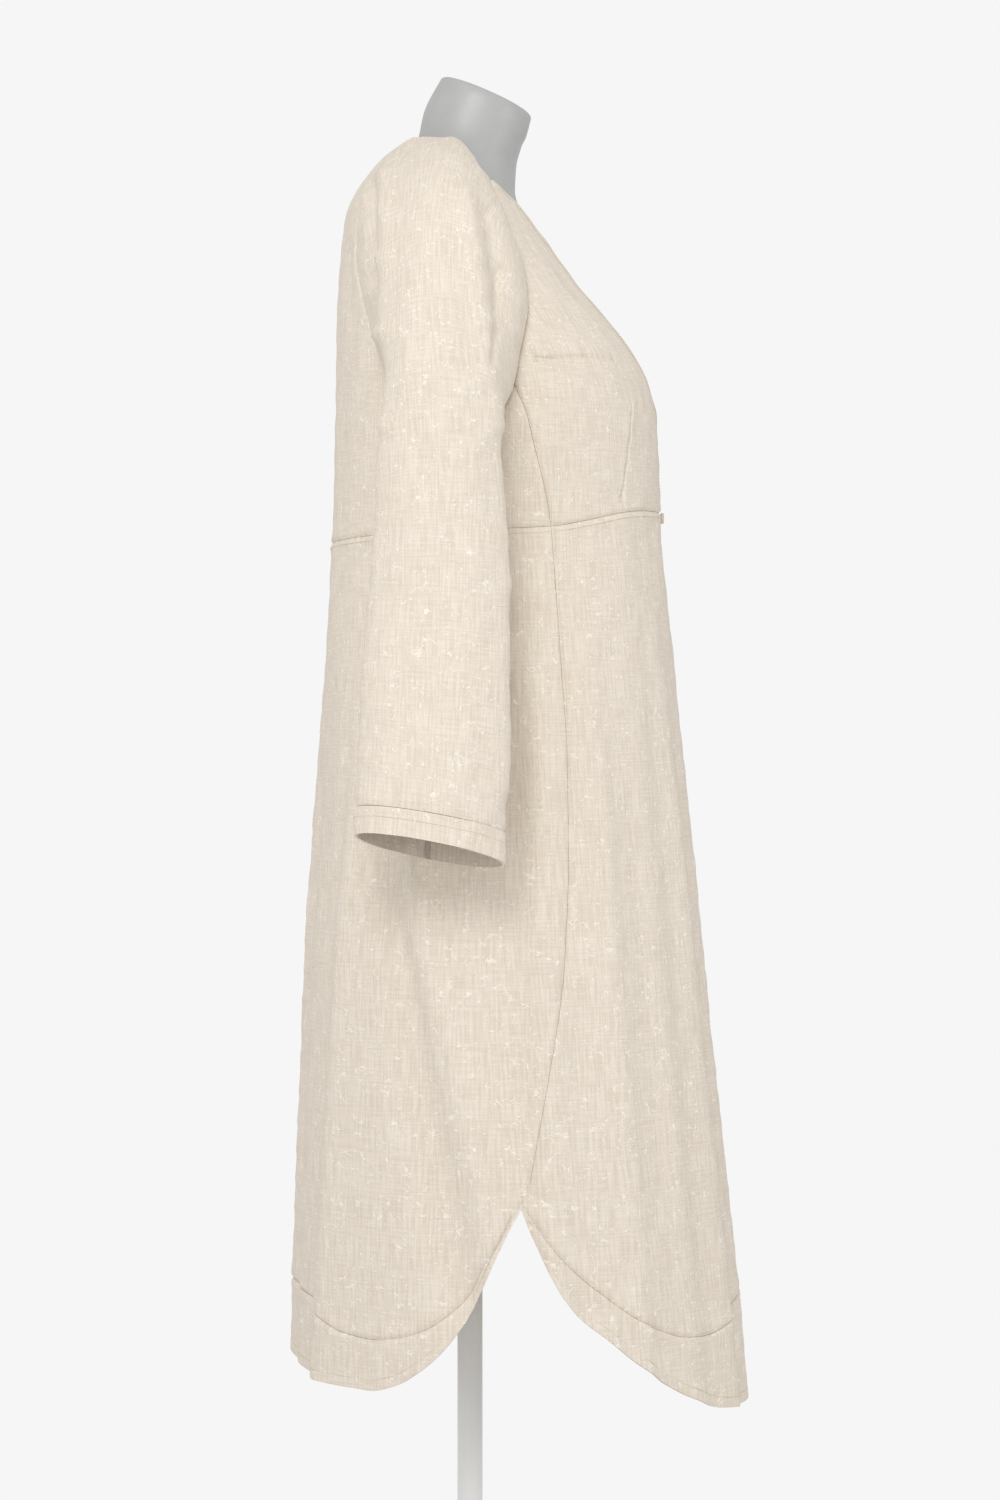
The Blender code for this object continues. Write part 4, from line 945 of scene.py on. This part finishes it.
def sleeve_seams(grid):
    """Height beside the sleeve's armhole seam, its shoulder dart and the seam of the cuff."""
    height = np.zeros(grid.shape[:2])
    cap = np.arange(len(grid)) < CAP_ROWS
    for order in (slice(None), slice(None, None, -1)):
        row = grid[:, order]
        gap = np.concatenate([np.zeros((len(grid), 1)),
                              np.cumsum(np.linalg.norm(np.diff(row, axis=1), axis=-1), axis=1)], axis=1)
        gap = gap[:, order]
        puff = SEAM_PUFF * bell(gap - SEAM_PUFF_AT, SEAM_PUFF_WIDTH)
        height += np.where(cap[:, None], puff - SEAM_ROLL * bell(gap, SEAM_ROLL_WIDTH), 0)
    off = np.abs(grid[..., 1] - smooth(SHOULDER_DART["z"], SHOULDER_DART["y"], grid[..., 2]))
    reach = np.clip((grid[..., 2] - SHOULDER_DART["z"][0]) / 0.01, 0, 1)
    height -= reach * DART_DEPTH * bell(off, DART_WIDTH)
    height += reach * SEAM_PUFF * bell(off - SEAM_PUFF_AT, SEAM_PUFF_WIDTH)
    wrist = np.linalg.norm(grid - grid[-1:], axis=-1)
    height -= np.where(cap[:, None], 0, SEAM_ROLL * bell(wrist, SEAM_ROLL_WIDTH))
    return height


def grid_uv(grid):
    """UVs in metres: lengths along the grid's middle column and across each row from the crown."""
    down = np.linalg.norm(np.diff(grid[:, SLEEVE_ARC], axis=0), axis=-1)
    v = np.concatenate([[0], np.cumsum(down)])[:, None]
    across = np.concatenate([np.zeros((len(grid), 1)),
                             np.cumsum(np.linalg.norm(np.diff(grid, axis=1), axis=-1), axis=1)], axis=1)
    u = across - across[:, SLEEVE_ARC:SLEEVE_ARC + 1]
    return np.stack([u, np.broadcast_to(-v, u.shape)], axis=-1).reshape(-1, 2)


def grid_shell(name, grid, n, closed_from, wall, side):
    """Closed wall of a grid whose first and last columns join from row closed_from on."""
    rows, columns = grid.shape[:2]
    index = np.arange(rows * columns).reshape(rows, columns)
    index[closed_from:, -1] = index[closed_from:, 0]
    first = np.stack([index[:-1, :-1], index[:-1, 1:], index[1:, 1:]], axis=-1).reshape(-1, 3)
    second = np.stack([index[:-1, :-1], index[1:, 1:], index[1:, :-1]], axis=-1).reshape(-1, 3)
    triangles = np.concatenate([first, second])
    rims = [np.stack([index[0, 1:], index[0, :-1]], axis=-1),
            np.stack([index[-1, :-1], index[-1, 1:]], axis=-1)]
    if closed_from:
        rims.append(np.stack([index[:closed_from, 0], index[1:closed_from + 1, 0]], axis=-1))
        rims.append(np.stack([index[1:closed_from + 1, -1], index[:closed_from, -1]], axis=-1))
    rim = np.concatenate(rims)
    used = np.unique(triangles)
    compact = np.zeros(rows * columns, dtype=int)
    compact[used] = np.arange(len(used))
    flip = np.array([side, 1.0, 1.0])
    outer = (grid * flip).reshape(-1, 3)[used]
    inner = ((grid - wall * n) * flip).reshape(-1, 3)[used]
    return shell(name, outer, inner, compact[triangles], compact[rim][:, ::-1], grid_uv(grid)[used])


def from_middle(rows):
    """Level unit directions of closed rows, away from halfway between the seam and the crown."""
    away = rows - (rows[..., :1, :] + rows[..., SLEEVE_ARC:SLEEVE_ARC + 1, :]) / 2
    away[..., 2] = 0
    return away / np.linalg.norm(away, axis=-1, keepdims=True)


def cuff_grid():
    """Turned hem at the wrist, a little prouder than the sleeve."""
    edge = TUBE["crown_z"][0]
    grid = np.array([tube_row(z) for z in np.linspace(edge + CUFF_DEPTH, edge, BAND_ROWS + 1)])
    return grid, from_middle(grid)


# ---- Sewing ------------------------------------------------------------------------------------

def stitches(points, n):
    """Corners of a row of stitches, one small block each, along a line of points whose outward
    directions are n. Returns eight points a stitch."""
    length = np.concatenate([[0], np.cumsum(np.linalg.norm(np.diff(points, axis=0), axis=-1))])
    starts = np.arange(0, length[-1] - STITCH_LENGTH, STITCH_PITCH)

    def at(where, values):
        return np.stack([np.interp(where, length, values[:, i]) for i in range(3)], axis=-1)

    first, last = at(starts, points), at(starts + STITCH_LENGTH, points)
    up = at(starts + STITCH_LENGTH / 2, n)
    up /= np.linalg.norm(up, axis=-1, keepdims=True)
    aside = np.cross(last - first, up)
    aside *= STITCH_WIDTH / 2 / np.linalg.norm(aside, axis=-1, keepdims=True)
    low, high = -0.0002 * up, STITCH_RISE * up
    return np.stack([first - aside + low, first + aside + low, last + aside + low, last - aside + low,
                     first - 0.5 * aside + high, first + 0.5 * aside + high,
                     last + 0.5 * aside + high, last - 0.5 * aside + high], axis=1)


def body_stitches(angle, z, side=1, under=False, out=0.0):
    """A row of stitches along places on the body."""
    angle, z = np.asarray(angle, dtype=float), np.asarray(z, dtype=float)
    flat = angle * METRES_PER_DEGREE
    rise = folds(side * angle, z) + folds(side * angle, z, CRESTS)
    rise += creases(side * angle, z) + waviness(side * flat, z)
    points, n = lay(angle, z, rise + out - lap(angle, z) * under)
    flip = np.array([side, 1.0, 1.0])
    return stitches(points * flip, n * flip)


def stitch_object(name, blocks):
    corners = np.concatenate(blocks)
    count = len(corners)
    block = np.array([[0, 3, 2, 1], [4, 5, 6, 7], [0, 1, 5, 4], [1, 2, 6, 5], [2, 3, 7, 6], [3, 0, 4, 7]])
    faces = (block[None] + 8 * np.arange(count)[:, None, None]).reshape(-1, 4)
    points = corners.reshape(-1, 3)
    a, b, c = (points[faces[:, i]] for i in range(3))
    outwards = np.sum(np.cross(b - a, c - a) * (a - np.repeat(corners.mean(axis=1), 6, axis=0)), axis=-1)
    faces = np.where(outwards[:, None] < 0, faces[:, ::-1], faces)
    return make_object(name, points, [faces], smooth_angle=80)


def shifted(rows, by, first, last):
    """Places along a table's line between two angles, moved by so much in height."""
    at = np.linspace(first, last, STITCH_COUNT)
    return at, column(rows, "z", at, by="angle") + by


# ---- Materials ---------------------------------------------------------------------------------

def linear(code):
    """Linear RGBA of an sRGB colour written as six hex digits."""
    value = np.array([int(code[i:i + 2], 16) / 255 for i in (0, 2, 4)])
    value = np.where(value <= 0.04045, value / 12.92, ((value + 0.055) / 1.055) ** 2.4)
    return (*value.tolist(), 1.0)


def add_node(tree, kind, links=(), **values):
    """One node with its inputs set by name, and links from other sockets to its inputs."""
    node = tree.nodes.new(kind)
    for name, value in values.items():
        if name in node.inputs:
            node.inputs[name].default_value = value
        else:
            setattr(node, name, value)
    for name, source in dict(links).items():
        tree.links.new(source, node.inputs[name])
    return node


def mixed_colour(tree, factor, first, second, first_socket=None):
    """A colour between two, each written as six hex digits, or the first one from a socket."""
    node = tree.nodes.new("ShaderNodeMix")
    node.data_type = "RGBA"
    tree.links.new(factor, node.inputs["Factor"])
    if first_socket is None:
        node.inputs["A"].default_value = linear(first)
    else:
        tree.links.new(first_socket, node.inputs["A"])
    node.inputs["B"].default_value = linear(second)
    return node.outputs["Result"]


def new_material(name):
    made = bpy.data.materials.new(name)
    made.use_nodes = True
    tree = made.node_tree
    return made, tree, tree.nodes["Principled BSDF"]


def mottled(tree, shader, scale, detail, low, high):
    """A slow noise in object space between two colours, on the shader's base colour."""
    place = add_node(tree, "ShaderNodeTexCoord").outputs["Object"]
    noise = add_node(tree, "ShaderNodeTexNoise", {"Vector": place}, Scale=scale, Detail=detail)
    tree.links.new(mixed_colour(tree, noise.outputs["Fac"], low, high), shader.inputs["Base Color"])


def linen():
    """Washed linen: matt off-white cloth with short squiggly crinkles, bumped and with a painted highlight
    on their lines, faint upright and level slubs of thicker yarn and a fine weave that keep it from looking
    like paper."""
    made, tree, shader = new_material("crinkled_linen")
    uv = add_node(tree, "ShaderNodeUVMap", uv_map="cloth").outputs["UV"]

    def noise(scale, detail=2.0, distortion=0.0, vector=uv):
        return add_node(tree, "ShaderNodeTexNoise", {"Vector": vector}, Scale=scale, Detail=detail,
                        Distortion=distortion).outputs["Fac"]

    def between(value, low, high, to_low=0.0, to_high=1.0):
        node = add_node(tree, "ShaderNodeMapRange", {"Value": value}, interpolation_type="SMOOTHSTEP")
        for name, number in zip(("From Min", "From Max", "To Min", "To Max"), (low, high, to_low, to_high)):
            node.inputs[name].default_value = number
        return node.outputs["Result"]

    def maths(operation, first, second):
        node = add_node(tree, "ShaderNodeMath", {0: first}, operation=operation)
        if isinstance(second, float):
            node.inputs[1].default_value = second
        else:
            tree.links.new(second, node.inputs[1])
        return node.outputs["Value"]

    def stretched(across, up):
        node = add_node(tree, "ShaderNodeMapping", {"Vector": uv})
        node.inputs["Scale"].default_value = (across, up, 1.0)
        return node.outputs["Vector"]

    # crinkles: the borders of bent cells about 12 mm across, as lines 1 mm wide that a noise breaks
    # into lengths of 5 to 15 mm
    bend = add_node(tree, "ShaderNodeTexNoise", {"Vector": uv}, Scale=130.0, Detail=1.0)
    pull = add_node(tree, "ShaderNodeVectorMath", {0: bend.outputs["Color"]}, operation="SCALE", Scale=0.014)
    bent = add_node(tree, "ShaderNodeVectorMath", {0: uv, 1: pull.outputs["Vector"]}, operation="ADD")
    cells = add_node(tree, "ShaderNodeTexVoronoi", {"Vector": bent.outputs["Vector"]}, Scale=78.0,
                     feature="DISTANCE_TO_EDGE")
    line = between(cells.outputs["Distance"], 0.0, 0.06, 1.0, 0.0)
    lengths = between(noise(95.0, 1.0), 0.43, 0.55)
    crinkle = maths("MULTIPLY", line, lengths)
    # dents between them, about 12 mm across
    dents = noise(80.0, 3.0, 0.4)
    # slubs: streaks about 1 mm wide and 30 mm long, upright and level
    upright = noise(1.0, 2.0, 0.0, stretched(560.0, 28.0))
    level = noise(1.0, 2.0, 0.0, stretched(32.0, 620.0))
    slub = maths("ADD", upright, maths("MULTIPLY", level, 0.6))
    # weave: threads 0.8 mm apart each way
    threads = [add_node(tree, "ShaderNodeTexWave", {"Vector": uv}, Scale=200.0, Distortion=1.5,
                        Detail=1.0, bands_direction=way).outputs["Fac"] for way in "XY"]
    weave = maths("MULTIPLY", *threads)
    normal = None
    for height, strength, distance in ((weave, 0.3, 0.0002), (slub, 0.5, 0.0003),
                                       (dents, 0.7, 0.0014), (crinkle, 0.6, 0.0006)):
        links = {"Height": height} if normal is None else {"Height": height, "Normal": normal}
        normal = add_node(tree, "ShaderNodeBump", links, Strength=strength,
                          Distance=distance).outputs["Normal"]
    tree.links.new(normal, shader.inputs["Normal"])
    yarn = mixed_colour(tree, between(slub, 0.55, 1.05), "D8CCBC", "E7DDCF")
    # crinkle lines painted lighter: a painted highlight where their ridges catch the light
    yarn_and_painted_highlight = mixed_colour(tree, maths("MULTIPLY", crinkle, 0.75), None, "F8F1E6", yarn)
    tree.links.new(yarn_and_painted_highlight, shader.inputs["Base Color"])
    shader.inputs["Roughness"].default_value = 0.9
    shader.inputs["Specular IOR Level"].default_value = 0.15
    shader.inputs["Sheen Weight"].default_value = 0.10
    shader.inputs["Sheen Roughness"].default_value = 0.5
    return made


def thread():
    """Cotton sewing thread, painted a touch darker than the linen as painted shade of the stitch line, so
    that a row of it can be made out.
    """
    made, _, shader = new_material("cotton_thread")
    # the darker thread colour is painted shade: it stands for the shadow along a row of stitches
    shader.inputs["Base Color"].default_value = linear("D2C6B3")
    shader.inputs["Roughness"].default_value = 0.8
    return made


def form_skin():
    """Satin silver-grey lacquer on the moulded form, with the faintest mottle of a sprayed coat."""
    made, tree, shader = new_material("silver_grey_lacquer")
    mottled(tree, shader, 60.0, 2.0, "A9A9A8", "B3B3B1")
    shader.inputs["Roughness"].default_value = 0.36
    return made


def powder_coat():
    """White powder coat on the steel stand: satin, with the fine orange peel of baked powder."""
    made, tree, shader = new_material("white_powder_coat")
    place = add_node(tree, "ShaderNodeTexCoord").outputs["Object"]
    peel = add_node(tree, "ShaderNodeTexNoise", {"Vector": place}, Scale=900.0)
    bump = add_node(tree, "ShaderNodeBump", {"Height": peel.outputs["Fac"]}, Strength=0.2, Distance=0.0002)
    tree.links.new(bump.outputs["Normal"], shader.inputs["Normal"])
    shader.inputs["Base Color"].default_value = linear("F2F2F1")
    shader.inputs["Roughness"].default_value = 0.4
    return made


def shell_button():
    """Pale mother-of-pearl: glossy, with slow cloudy bands."""
    made, tree, shader = new_material("mother_of_pearl")
    mottled(tree, shader, 300.0, 1.0, "CDBFA8", "E2D6C2")
    shader.inputs["Roughness"].default_value = 0.25
    return made


MAKERS = {"crinkled_linen": linen, "cotton_thread": thread, "silver_grey_lacquer": form_skin,
          "white_powder_coat": powder_coat, "mother_of_pearl": shell_button}


def wear(obj, name):
    """Gives the object the named material, made once."""
    made = bpy.data.materials.get(name)
    obj.data.materials.clear()
    obj.data.materials.append(made or MAKERS[name]())


# ---- Pieces ------------------------------------------------------------------------------------

def cloth_piece(obj, node):
    """Puts a cloth piece in the place of its node."""
    wear(obj, "crinkled_linen")
    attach(obj, "root")
    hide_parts(node)


def neck_line(z, inset_by):
    """Angles of a line beside the front's free edge, so far inside it."""
    x = column(FRONT_EDGE, "x", z) - inset_by
    return angle_at_x(x, z)


def build_bodice(settings):
    step = settings.step
    cloth_piece(body_panel("back_bodice_cloth", back_bodice(), step), "back_bodice")
    for name, side in (("right", 1), ("left", -1)):
        made = body_panel(f"front_bodice_{name}_cloth", front_bodice(), step, side=side,
                          under=side < 0, darts=(BUST_DART, WAIST_DART))
        cloth_piece(made, f"front_bodice_{name}")


def build_skirt(settings):
    step = settings.step
    cloth_piece(body_panel("back_skirt_cloth", back_skirt(), step), "back_skirt")
    cloth_piece(body_panel("back_hem_band_cloth", back_hem_band(), step, BAND, BAND_RISE),
                "back_hem_band")
    for name, side in (("right", 1), ("left", -1)):
        made = body_panel(f"front_skirt_{name}_cloth", front_skirt(), step, side=side, under=side < 0)
        cloth_piece(made, f"front_skirt_{name}")
        band = body_panel(f"front_hem_band_{name}_cloth", front_hem_band(), step, BAND, BAND_RISE,
                          side, side < 0)
        cloth_piece(band, f"front_hem_band_{name}")


def build_sleeves(settings):
    grid, n = sleeve()
    wrist, away = cuff_grid()
    for name, side in (("right", 1), ("left", -1)):
        rim = np.linspace(0, 1, grid.shape[1])
        calm = np.clip(np.minimum(rim, 1 - rim) * 20, 0, 1)[None, :]
        rows = np.arange(len(grid))[:, None]
        calm = 1 + (calm - 1) * np.clip((CAP_ROWS + 4 - rows) / 6, 0, 1)
        height = sleeve_relief(grid, n, side) * calm + sleeve_seams(grid)
        moved = grid + n * height[..., None]
        moved[CAP_ROWS:, -1] = moved[CAP_ROWS:, 0]
        made = grid_shell(f"sleeve_{name}_cloth", moved, n, CAP_ROWS, CLOTH, side)
        cloth_piece(made, f"sleeve_{name}")
        hem = wrist + away * (BAND_RISE + sleeve_relief(wrist, away, side))[..., None]
        hem[:, -1] = hem[:, 0]
        made = grid_shell(f"cuff_hem_{name}_cloth", hem, away, 0, BAND, side)
        cloth_piece(made, f"cuff_hem_{name}")


def build_sewing(settings):
    """Rows of stitches: two round the neck, one under the waist seam and one on each hem."""
    rows = []
    for side in (1, -1):
        under = side < 0
        for inset_by in NECK_STITCHES:
            z = np.linspace(*NECK_STITCH_Z, STITCH_COUNT)
            rows.append(body_stitches(neck_line(z, inset_by), z, side, under, 0.0005))
        side_angle = side_seam(WAIST_SIDE_Z)
        at, z = shifted(WAIST, -WAIST_STITCH_DROP, waist_edge() + 1, side_angle - 0.6)
        rows.append(body_stitches(at, z, side, under, 0.0006))
        at, z = shifted(WAIST, -WAIST_STITCH_DROP, side_angle + 0.6, 180)
        rows.append(body_stitches(at, z, side, False, 0.0006))
        at, z = shifted(FRONT_HEM, HEM_STITCH_RISE, low_edge(0.26), 87.5)
        rows.append(body_stitches(at, z, side, under, BAND_RISE))
        at, z = shifted(BACK_HEM, HEM_STITCH_RISE, 90.5, 180)
        rows.append(body_stitches(at, z, side, False, BAND_RISE))
        ring = tube_row(TUBE["crown_z"][0] + CUFF_STITCH_RISE)
        away = from_middle(ring)
        ring = ring + away * (BAND_RISE + sleeve_relief(ring, away, side))[..., None]
        flip = np.array([side, 1.0, 1.0])
        rows.append(stitches(ring * flip, away * flip))
    made = stitch_object("sewing_thread", rows)
    wear(made, "cotton_thread")
    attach(made, "root")


def lathe(name, profile, columns):
    """A turned body about +Z from a profile of radius and height, closed at both ends."""
    turn = np.linspace(0, 2 * np.pi, columns, endpoint=False)
    radius, height = np.array(profile).T
    points = np.stack([radius[:, None] * np.cos(turn), radius[:, None] * np.sin(turn),
                       np.broadcast_to(height[:, None], (len(radius), columns))], axis=-1)
    return ring_stack(name, points)


def ring_stack(name, rings):
    """A closed body through rings of points, capped by a fan at each end."""
    rows, columns = rings.shape[:2]
    index = np.arange(rows * columns).reshape(rows, columns)
    nxt = np.roll(index, -1, axis=1)
    quads = np.stack([index[:-1], nxt[:-1], nxt[1:], index[1:]], axis=-1).reshape(-1, 4)
    ends = np.stack([rings[0].mean(axis=0), rings[-1].mean(axis=0)])
    points = np.concatenate([rings.reshape(-1, 3), ends])
    low = np.stack([nxt[0], index[0], np.full(columns, rows * columns)], axis=-1)
    high = np.stack([index[-1], nxt[-1], np.full(columns, rows * columns + 1)], axis=-1)
    fans = np.concatenate([low, high])
    halves = np.concatenate([quads[:, :3], quads[:, [0, 2, 3]], fans])
    if volume(points - points.mean(axis=0), halves) < 0:
        quads, fans = quads[:, ::-1], fans[:, ::-1]
    return make_object(name, points, [quads, fans])


def build_form(settings):
    """The form: its rounded sections in one smooth stack, the neck's tilted top edge eased."""
    heights = np.linspace(FORM["z"][0], FORM["z"][-1], FORM_ROWS)
    angle = np.linspace(0, 360, FORM_COLUMNS, endpoint=False)
    rings = body(angle[None, :], np.repeat(heights[:, None], FORM_COLUMNS, axis=1), FORM)
    middle = (column(FORM, "front", heights) + column(FORM, "back", heights)) / 2
    rings[..., 2] += column(FORM, "tilt", heights)[:, None] * (rings[..., 1] - middle[:, None])
    centre = rings[-1].mean(axis=0)
    up = np.array([0.0, -np.sin(np.arctan(FORM["tilt"][-1])), np.cos(np.arctan(FORM["tilt"][-1]))])
    lids = [centre + (rings[-1] - centre) * share + up * rise
            for share, rise in ((0.985, 0.0012), (0.955, 0.0022), (0.90, 0.0028), (0.5, 0.0030))]
    made = ring_stack("dress_form_skin", np.concatenate([rings, lids]))
    wear(made, "silver_grey_lacquer")
    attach(made, "root")
    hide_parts("dress_form")


def build_stand(settings):
    for name in ("stand_pole", "stand_base"):
        node = bpy.data.objects[name]
        wear(node, "white_powder_coat")


def build_button(settings):
    """A small round button with a raised rim, facing the front."""
    r, h = BUTTON_RADIUS, BUTTON_HEIGHT
    profile = [(0.001, 0), (r - 0.0012, 0), (r - 0.0003, 0.0005), (r, 0.0012), (r - 0.0002, h - 0.0006),
               (r - 0.0008, h), (r - 0.0016, h - 0.0001), (r - 0.0022, h - 0.0009), (0.001, h - 0.0010)]
    made = lathe("button_disc", profile, 48)
    surface = float(column(BODY, "front", BUTTON_Z))
    back = surface - BUTTON_CLEARANCE
    points = np.array([v.co for v in made.data.vertices])
    placed = np.stack([points[:, 0], back - points[:, 2], BUTTON_Z + points[:, 1]], axis=-1)
    made.data.vertices.foreach_set("co", placed.astype(np.float32).ravel())
    made.data.update()
    wear(made, "mother_of_pearl")
    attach(made, "root")
    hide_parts("button")


# ---- Stage -------------------------------------------------------------------------------------

def build_stage(settings):
    """A pale round floor, a white surround, three broad soft lights and the camera."""
    floor = lathe("floor", [(0.01, -0.004), (settings.floor_radius, -0.004),
                            (settings.floor_radius, -0.0005), (0.01, -0.0005)], 96)
    made, tree, shader = new_material("pale_floor_paint")
    shader.inputs["Base Color"].default_value = linear("E9E8E6")
    shader.inputs["Roughness"].default_value = 0.8
    floor.data.materials.append(made)
    world = bpy.data.worlds.new("surround")
    bpy.context.scene.world = world
    world.use_nodes = True
    tree = world.node_tree
    tree.nodes.clear()
    seen = add_node(tree, "ShaderNodeBackground", Strength=1.0, Color=linear("F6F6F6"))
    glow = add_node(tree, "ShaderNodeBackground", Strength=settings.surround, Color=linear("F8F8F8"))
    ray = add_node(tree, "ShaderNodeLightPath")
    mixed = add_node(tree, "ShaderNodeMixShader", {0: ray.outputs["Is Camera Ray"],
                                                   1: glow.outputs["Background"],
                                                   2: seen.outputs["Background"]})
    add_node(tree, "ShaderNodeOutputWorld", {"Surface": mixed.outputs["Shader"]})
    for name, (place, size) in LIGHTS.items():
        light = bpy.data.lights.new(name, "AREA")
        light.shape, light.size, light.energy = "DISK", size, getattr(settings, name)
        lamp = bpy.data.objects.new(name, light)
        lamp.location = place
        aim = Vector(LIT_POINT) - Vector(place)
        lamp.rotation_euler = aim.to_track_quat("-Z", "Y").to_euler()
        bpy.context.scene.collection.objects.link(lamp)
    camera = bpy.data.cameras.new("camera")
    camera.lens, camera.sensor_width, camera.sensor_fit = CAMERA_LENS, CAMERA_SENSOR, "AUTO"
    holder = bpy.data.objects.new("camera", camera)
    holder.location = CAMERA_AT
    holder.rotation_euler = (np.pi / 2, 0, -np.pi / 2)
    bpy.context.scene.collection.objects.link(holder)
    bpy.context.scene.camera = holder
    bpy.context.scene.view_settings.view_transform = "Standard"


# ---- Add-on ------------------------------------------------------------------------------------

class DusterSettings(bpy.types.PropertyGroup):
    step: bpy.props.FloatProperty(
        name="Lattice step", description="Distance between the places inside a panel",
        default=0.0080, min=0.004, max=0.03, unit="LENGTH")
    surround: bpy.props.FloatProperty(
        name="Surround", description="Brightness of the white surround as a light",
        default=0.76, min=0.0, max=3.0)
    key: bpy.props.FloatProperty(
        name="Key light", description="Power of the broad light at the camera side and above, in watts",
        default=42.0, min=0.0, max=1000.0)
    fill: bpy.props.FloatProperty(
        name="Fill light", description="Power of the broad light before the coat, in watts",
        default=14.0, min=0.0, max=1000.0)
    rim: bpy.props.FloatProperty(
        name="Rim light", description="Power of the broad light behind the coat, in watts",
        default=8.0, min=0.0, max=1000.0)
    floor_radius: bpy.props.FloatProperty(
        name="Floor radius", description="Radius of the round floor",
        default=0.62, min=0.2, max=2.0, unit="LENGTH")


class DUSTER_OT_bodice(bpy.types.Operator):
    """Add the back bodice and the two fronts above the waist"""
    bl_idname = "duster.bodice"
    bl_label = "Duster Bodice"
    bl_options = {"REGISTER", "UNDO"}

    def execute(self, context):
        build_bodice(context.scene.duster)
        return {"FINISHED"}


class DUSTER_OT_skirt(bpy.types.Operator):
    """Add the three skirt panels and their hem bands"""
    bl_idname = "duster.skirt"
    bl_label = "Duster Skirt"
    bl_options = {"REGISTER", "UNDO"}

    def execute(self, context):
        build_skirt(context.scene.duster)
        return {"FINISHED"}


class DUSTER_OT_sleeves(bpy.types.Operator):
    """Add both raglan sleeves and their cuff hems"""
    bl_idname = "duster.sleeves"
    bl_label = "Duster Sleeves"
    bl_options = {"REGISTER", "UNDO"}

    def execute(self, context):
        build_sleeves(context.scene.duster)
        return {"FINISHED"}


class DUSTER_OT_sewing(bpy.types.Operator):
    """Add the rows of stitches"""
    bl_idname = "duster.sewing"
    bl_label = "Duster Sewing"
    bl_options = {"REGISTER", "UNDO"}

    def execute(self, context):
        build_sewing(context.scene.duster)
        return {"FINISHED"}


class DUSTER_OT_form(bpy.types.Operator):
    """Add the dress form that wears the coat"""
    bl_idname = "duster.form"
    bl_label = "Dress Form"
    bl_options = {"REGISTER", "UNDO"}

    def execute(self, context):
        build_form(context.scene.duster)
        return {"FINISHED"}


class DUSTER_OT_stand(bpy.types.Operator):
    """Give the stand's pole and base their material"""
    bl_idname = "duster.stand"
    bl_label = "Stand"
    bl_options = {"REGISTER", "UNDO"}

    def execute(self, context):
        build_stand(context.scene.duster)
        return {"FINISHED"}


class DUSTER_OT_button(bpy.types.Operator):
    """Add the button at the front of the waist"""
    bl_idname = "duster.button"
    bl_label = "Button"
    bl_options = {"REGISTER", "UNDO"}

    def execute(self, context):
        build_button(context.scene.duster)
        return {"FINISHED"}


class DUSTER_OT_stage(bpy.types.Operator):
    """Add the floor, the surround, the lights and the camera"""
    bl_idname = "duster.stage"
    bl_label = "Stage"
    bl_options = {"REGISTER", "UNDO"}

    def execute(self, context):
        build_stage(context.scene.duster)
        return {"FINISHED"}


class DUSTER_PT_sidebar(bpy.types.Panel):
    """Sizes and lights of the duster coat, with a button for each group of pieces"""
    bl_idname = "DUSTER_PT_sidebar"
    bl_label = "Duster coat"
    bl_space_type = "VIEW_3D"
    bl_region_type = "UI"
    bl_category = "Duster"

    def draw(self, context):
        settings = context.scene.duster
        for name in ("step", "surround", "key", "fill", "rim", "floor_radius"):
            self.layout.prop(settings, name)
        for step in STEPS:
            self.layout.operator(step.bl_idname)


STEPS = (DUSTER_OT_bodice, DUSTER_OT_skirt, DUSTER_OT_sleeves, DUSTER_OT_sewing, DUSTER_OT_form,
         DUSTER_OT_stand, DUSTER_OT_button, DUSTER_OT_stage)
CLASSES = (DusterSettings, *STEPS, DUSTER_PT_sidebar)


def register():
    for cls in CLASSES:
        bpy.utils.register_class(cls)
    bpy.types.Scene.duster = bpy.props.PointerProperty(type=DusterSettings)


def unregister():
    del bpy.types.Scene.duster
    for cls in reversed(CLASSES):
        bpy.utils.unregister_class(cls)


def main():
    register()
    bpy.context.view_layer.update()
    for name in ("bodice", "skirt", "sleeves", "sewing", "form", "stand", "button", "stage"):
        getattr(bpy.ops.duster, name)()


if __name__ == "__main__":
    main()
